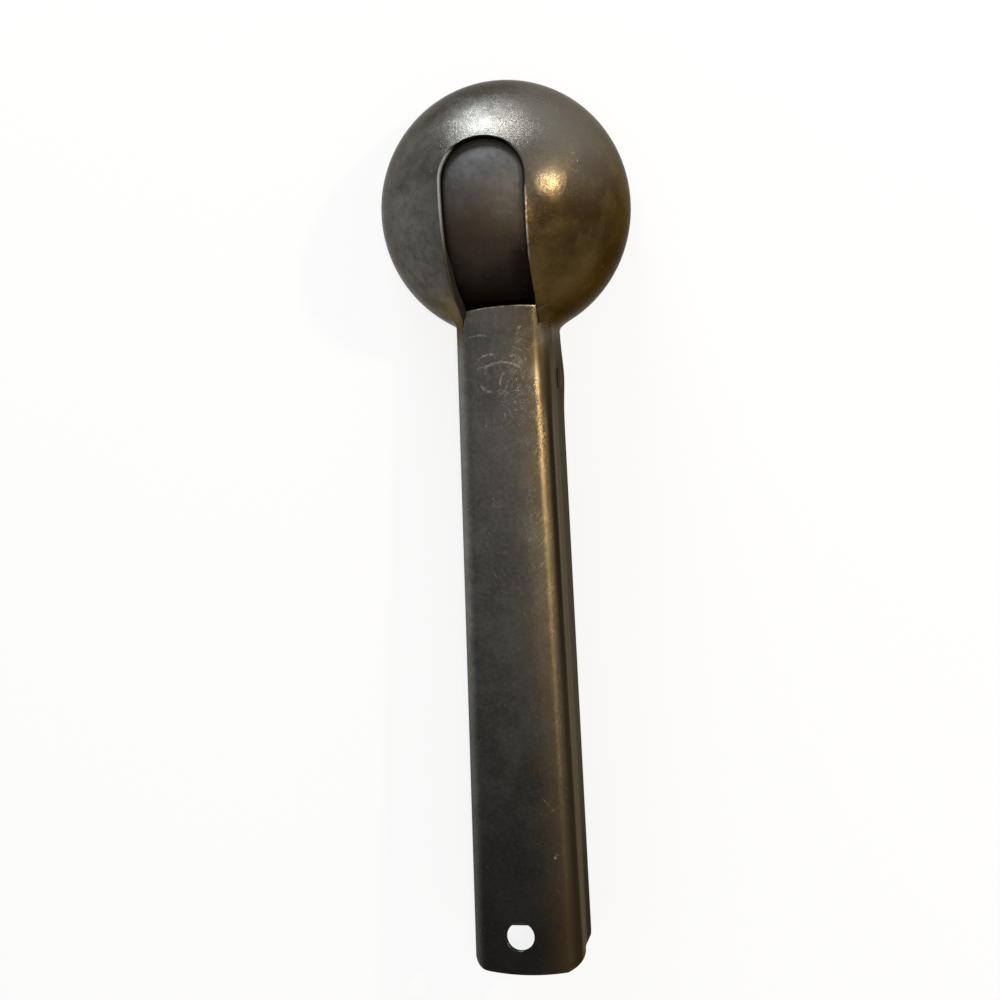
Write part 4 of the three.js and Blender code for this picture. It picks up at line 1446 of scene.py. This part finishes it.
def side_finish(steel, handle, turn, polished):
    """Brushed right bend with a painted gold highlight and a painted pale spot, a dark strip of painted
    reflection and painted shade near the neck, the flange below it with painted light above and painted shade
    lower down, and a painted sheen on the paler left side.
    """
    board = steel.board
    along = steel.along
    right = board.ramp(steel.across, (0, 4))
    behind_neck = board.ramp(along, (44, 35))
    bend = board.ramp(turn, (-0.35, 0.15)) * board.ramp(turn, (0.5, 0.25)) * right
    shade = board.ramp(along, (22, 32)) * board.ramp(turn, (0.06, 0.28)) * right * handle * behind_neck
    # Gold tint painted where the lamp's highlight runs along the start of the right bend: a painted
    # highlight.
    golden_highlight = bend * board.ramp(along, (-35, 22)) * board.ramp(along, (45, 36)) * (1.0 - shade)
    neck = right * handle * board.ramp(along, (32, 39)) * board.ramp(steel.across, (0, 9))
    steel.cover(neck, NECK, share=0.9, rough=0.44)
    steel.cover(golden_highlight, GOLD_HIGHLIGHT, share=0.5, rough=0.28)
    dulled = right * handle * board.ramp(along, (26, -8)) * board.ramp(turn, (-0.9, 0.0))
    steel.rough = steel.rough + dulled * 0.13
    brushed = steel.scratches(angle=-0.96, fineness=3000.0, density=1.0, shortness=0.14)
    steel.cover(golden_highlight * brushed["Lines"], GOLD_HIGHLIGHT_LINES, share=0.6, rough=0.3)
    stroked = bend * board.ramp(along, (-75, -30)) * board.ramp(along, (40, 30))
    steel.raise_by(stroked * brushed["Grain"] * 0.8)
    steel.raise_by(polished * brushed["Grain"] * 0.6)
    # Pale spot painted on the bend near the neck: a painted highlight.
    painted_glint = bend * board.ramp(along, (29, 33.5)) * board.ramp(along, (39, 34.5))
    steel.cover(painted_glint, PAINTED_GLINT, share=0.3)
    # Real brush scratches along the bend, tinted gold as a painted sheen.
    steel.cover(stroked * brushed["Lines"], SHEEN_BRUSH_LINES, share=0.45, rough=0.32)
    # Dark strip painted along the right bend: a painted reflection of the dark horizon.
    dark_reflection_band = board.ramp(turn, (0.22, 0.48)) * board.ramp(turn, (0.72, 0.58)) * right
    dark_reflection_band = dark_reflection_band * board.ramp(along, (43, 32))
    steel.cover(dark_reflection_band, board.mix(board.ramp(along, (0, -50)), DARK_REFLECTION, DARK_REFLECTION_REAR), share=0.92, rough=0.42)
    steel.cover(shade, NECK_SHADE, share=0.85, rough=0.45)
    # Paler grey painted on the left bend: a painted sheen from the bright horizon it faces.
    left_sheen = board.ramp(turn, (0.2, 0.8)) * board.ramp(steel.across, (0, -4))
    left_sheen_tint = board.mix(board.ramp(along, (-70, 0)), LEFT_SHEEN, LEFT_SHEEN_FRONT)
    steel.cover(left_sheen, left_sheen_tint, share=0.5, rough=0.4)
    # Right flange in a brown tone, lightened as painted light.
    lit_flange_tint = board.mix(board.ramp(along, (0, -90)), LIT_FLANGE, LIT_FLANGE_REAR)
    steel.cover(board.ramp(turn, (0.6, 0.82)) * right * behind_neck, lit_flange_tint, share=0.88, rough=0.4)
    # Lower flange darkened as painted shade, more toward the rear.
    shaded_low_flange = board.ramp(turn, (0.85, 1.6)) * right * behind_neck
    steel.cover(shaded_low_flange, SHADED_LOW_FLANGE, share=0.75, rough=0.5)
    steel.cover(shaded_low_flange * board.ramp(along, (-50, -90)), SHADED_LOW_FLANGE_REAR, share=0.8, rough=0.6)


def wall_finish(steel):
    """Dull inside, painted shadow on the arch of the window's cut, and painted light on the upper part of its
    left wall with painted shade on the lower part.
    """
    board = steel.board
    steel.cover(board.ramp(steel.mark("inner"), (0.5, 0.95)), INSIDE, share=0.6, rough=0.55)
    wall = steel.mark("wall")
    facing = steel.mark("wall_x")
    # Arch of the window's cut painted near-black: a painted shadow.
    steel.cover(wall * board.ramp(facing.use("ABSOLUTE"), (0.75, 0.45)), PAINTED_SHADOW, rough=0.6)
    # Left wall of the window's cut: painted shade low down, painted light on its upper part.
    left_wall_light_and_shade = board.mix(board.ramp(steel.along, (60, 72)), SHADED_LEFT_WALL, LIT_LEFT_WALL_TOP)
    steel.cover(wall * board.ramp(facing, (0.6, 0.85)), left_wall_light_and_shade, rough=0.6)


def body_material():
    """Aged steel of the bowl and handle."""
    steel = Steel("body_steel", light=(0.14, 0.138, 0.127), dark=(0.071, 0.068, 0.06), rough=0.26)
    handle = steel.mark("handle")
    turn = steel.mark("turn")
    on_bowl = 1.0 - handle
    drift = steel.drift(90.0, 7.0)
    polished, calm = bowl_finish(steel, on_bowl, drift)
    web_finish(steel, handle, drift)
    side_finish(steel, handle, turn, polished)
    scuffs(steel, steel.board.ramp(turn, (0.15, -0.25)) * handle)
    steel.wear(on_bowl * 0.5 + 0.3, BARE_BODY, 0.9, pit_size=2500.0)
    steel.height = steel.height * (1.0 - handle * 0.55) * (1.0 - calm * 0.6)
    wall_finish(steel)
    return steel.done(BODY_BUMP)


def blade_material():
    """Aged steel of the blade: grey at its arch, brown below, painted shade that makes its foot black, and
    painted shadow by the window's edge and at its lower right.
    """
    steel = Steel("blade_steel", light=(0.118, 0.119, 0.121), dark=(0.07, 0.07, 0.07), rough=0.6)
    board = steel.board
    down = steel.along + steel.drift(110.0, 6.0)
    steel.cover(board.ramp(down, (80, 66)), BLADE_BROWN, share=0.9)
    # Blade's foot painted near-black: painted shade where it dips under the tab.
    steel.cover(board.ramp(down, (68, 50)), BLADE_FOOT_SHADE, share=0.95, rough=0.7)
    # Dark patch painted at the blade's lower right: a painted shadow.
    steel.cover(board.ramp(steel.across, (3, 6.5)) * board.ramp(down, (64, 58)), PAINTED_SHADOW, share=0.7, rough=0.7)
    steel.wear(0.35, BARE_BLADE, 0.6)
    # Crescent painted near-black on the blade just beyond the window's edge: the painted shadow of the
    # shell's cut.
    above = (steel.along - (WINDOW_ARCH_CENTRE + FRAME_SHIFT_Y)).use("MAXIMUM", 0.0)
    away = (above * above + steel.across * steel.across).use("SQRT")
    steel.cover(board.ramp(away, (8.2, 9.4)), PAINTED_SHADOW, rough=0.8)
    return steel.done(SMALL_BUMP)


def plain_material(name, light, dark, rough, bare=BARE_SMALL):
    """Aged steel of a smaller piece."""
    steel = Steel(name, light, dark, rough)
    steel.wear(0.6, bare, 0.8)
    return steel.done(SMALL_BUMP)


# Pieces and the bodies that they ride on.
lever_steel = plain_material("lever_steel", (0.07, 0.062, 0.048), (0.04, 0.034, 0.025), 0.46)
spring_steel = plain_material("spring_steel", (0.1, 0.095, 0.09), (0.05, 0.046, 0.042), 0.4)
rivet_steel = plain_material("rivet_steel", (0.16, 0.15, 0.135), (0.08, 0.075, 0.066), 0.4)
pin_steel = plain_material("pin_steel", (0.075, 0.062, 0.042), (0.035, 0.028, 0.018), 0.44, BARE_PIN)

shell = scoop_shell()
shell.data.materials.append(body_material())
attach(shell, "scoop")
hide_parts("scoop_body")

blade = ejector_blade()
blade.data.materials.append(blade_material())
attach(blade, "ejector")
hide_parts("ejector_blade")

lever = squeeze_lever(lever_steel)
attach(lever, "ejector")
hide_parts("squeeze_lever")

rivets = blade_rivets(rivet_steel)
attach(rivets, "ejector")
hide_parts("blade_rivet_left", "blade_rivet_right")

pin = pivot_pin()
pin.data.materials.append(pin_steel)
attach(pin, "scoop")
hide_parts("pivot_pin")

spring, spring_length = return_spring(spring_steel)
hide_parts("return_spring")
spring_ends = to_frame([
    [-spring_length / 2, PIVOT_Y, PIVOT_HEIGHT],
    [spring_length / 2, PIVOT_Y, PIVOT_HEIGHT],
])
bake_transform(spring)


# Camera at the photograph's angle, floor and light.
CAMERA_ROLL = -11.86
CAMERA_PITCH = 6.35
CAMERA_TURN = 3.22
CAMERA_PLACE = (-1.533, -66.202, 450.0)
FOCAL_SHARE = 4.377 * 0.45
SENSOR_WIDTH = 36.0
CLIP_START = 0.01
CLIP_END = 100.0
FLOOR_REACH = 30.0
FLOOR_DROP = 0.0003
FLOOR_GLOW = 0.82
FLOOR_TINT = (0.82, 0.86, 0.94)
WHITE = (1.0, 1.0, 1.0)
HORIZON_TINT = (0.9, 0.9, 0.9)
OVERHEAD_TINT = (0.4, 0.405, 0.415)


def photo_camera():
    """Camera that sees the scoop as the photograph does."""
    turns = ((CAMERA_TURN, "Z"), (CAMERA_PITCH, "X"), (CAMERA_ROLL, "Y"))
    first, second, third = (Matrix.Rotation(math.radians(angle), 3, axis) for angle, axis in turns)
    turned_axes = (first @ second @ third).transposed()
    data = bpy.data.cameras.new("photo_camera")
    data.sensor_width = SENSOR_WIDTH
    data.lens = SENSOR_WIDTH * FOCAL_SHARE
    data.clip_start = CLIP_START
    data.clip_end = CLIP_END
    camera = placed("photo_camera", data)
    place = turned_axes @ Vector(CAMERA_PLACE)
    camera.matrix_world = Matrix.Translation(Vector(to_frame([place])[0])) @ turned_axes.to_4x4()
    bpy.context.scene.camera = camera


def pale_floor():
    """Plain floor that stays white to the camera and keeps a soft shadow."""
    square = ((-1, -1), (1, -1), (1, 1), (-1, 1))
    corners = [(x * FLOOR_REACH, y * FLOOR_REACH, -FLOOR_DROP) for x, y in square]
    mesh = bpy.data.meshes.new("pale_floor")
    mesh.from_pydata(corners, [], [(0, 1, 2, 3)])
    floor = placed("pale_floor", mesh)
    material = bpy.data.materials.new("pale_floor")
    material.use_nodes = True
    material.node_tree.nodes.clear()
    board = Board(material.node_tree)
    path = board.values(board.add("ShaderNodeLightPath"))
    seen = path["Is Camera Ray"].use("MAXIMUM", path["Is Glossy Ray"])
    seen = seen.use("MAXIMUM", path["Is Transmission Ray"])
    place = board.add("ShaderNodeTexCoord").outputs["Object"]
    x, y, _ = board.axes(place)
    across = x / MM
    from_bowl = y / MM - FRAME_SHIFT_Y
    open_floor = board.ramp((from_bowl * from_bowl + across * across).use("SQRT"), (26, 28.5))
    matt = board.add("ShaderNodeBsdfDiffuse", {"Color": rgba(FLOOR_TINT)}).outputs[0]
    glow = board.add("ShaderNodeEmission", {"Color": rgba(WHITE), "Strength": 1.0}).outputs[0]
    mixed = board.add("ShaderNodeMixShader", {0: seen * FLOOR_GLOW * open_floor, 1: matt, 2: glow}).outputs[0]
    board.add("ShaderNodeOutputMaterial", {"Surface": mixed})
    mesh.materials.append(material)


def soft_light(name, place, aim, size, power, tint):
    """Rectangular soft light at a place, in metres, turned to what it lights."""
    data = bpy.data.lights.new(name, "AREA")
    data.shape = "RECTANGLE"
    data.size, data.size_y = size
    data.energy = power
    data.color = tint
    light = placed(name, data)
    light.location = place
    light.rotation_euler = (Vector(aim) - Vector(place)).to_track_quat("-Z", "Y").to_euler()


def studio_world():
    """Soft surrounding light, paler near the horizon than overhead."""
    world = bpy.data.worlds.new("studio_world")
    bpy.context.scene.world = world
    world.use_nodes = True
    board = Board(world.node_tree)
    _, _, up = board.axes(board.add("ShaderNodeTexCoord").outputs["Generated"])
    background = world.node_tree.nodes["Background"]
    tint = board.mix(board.ramp(up, (0.05, 0.75)), HORIZON_TINT, OVERHEAD_TINT)
    feed(world.node_tree, background.inputs["Color"], tint)
    background.inputs["Strength"].default_value = 1.0


photo_camera()
pale_floor()
studio_world()
bowl = (0.0, FRAME_SHIFT_Y * MM, 0.015)
middle = (0.0, 0.0, 0.015)
soft_light("window_light", (-0.16, 1.0, 0.2), bowl, size=(0.5, 0.3), power=11.5, tint=(0.9, 0.95, 1.0))
soft_light("warm_lamp", (0.21, 0.09, 0.84), middle, size=(0.1, 0.1), power=2.45, tint=(1.0, 0.78, 0.45))
soft_light("side_lamp", (0.78, 0.4, 0.58), bowl, size=(0.06, 0.06), power=4.5, tint=(1.0, 0.84, 0.56))

bpy.context.scene.view_settings.view_transform = "Standard"
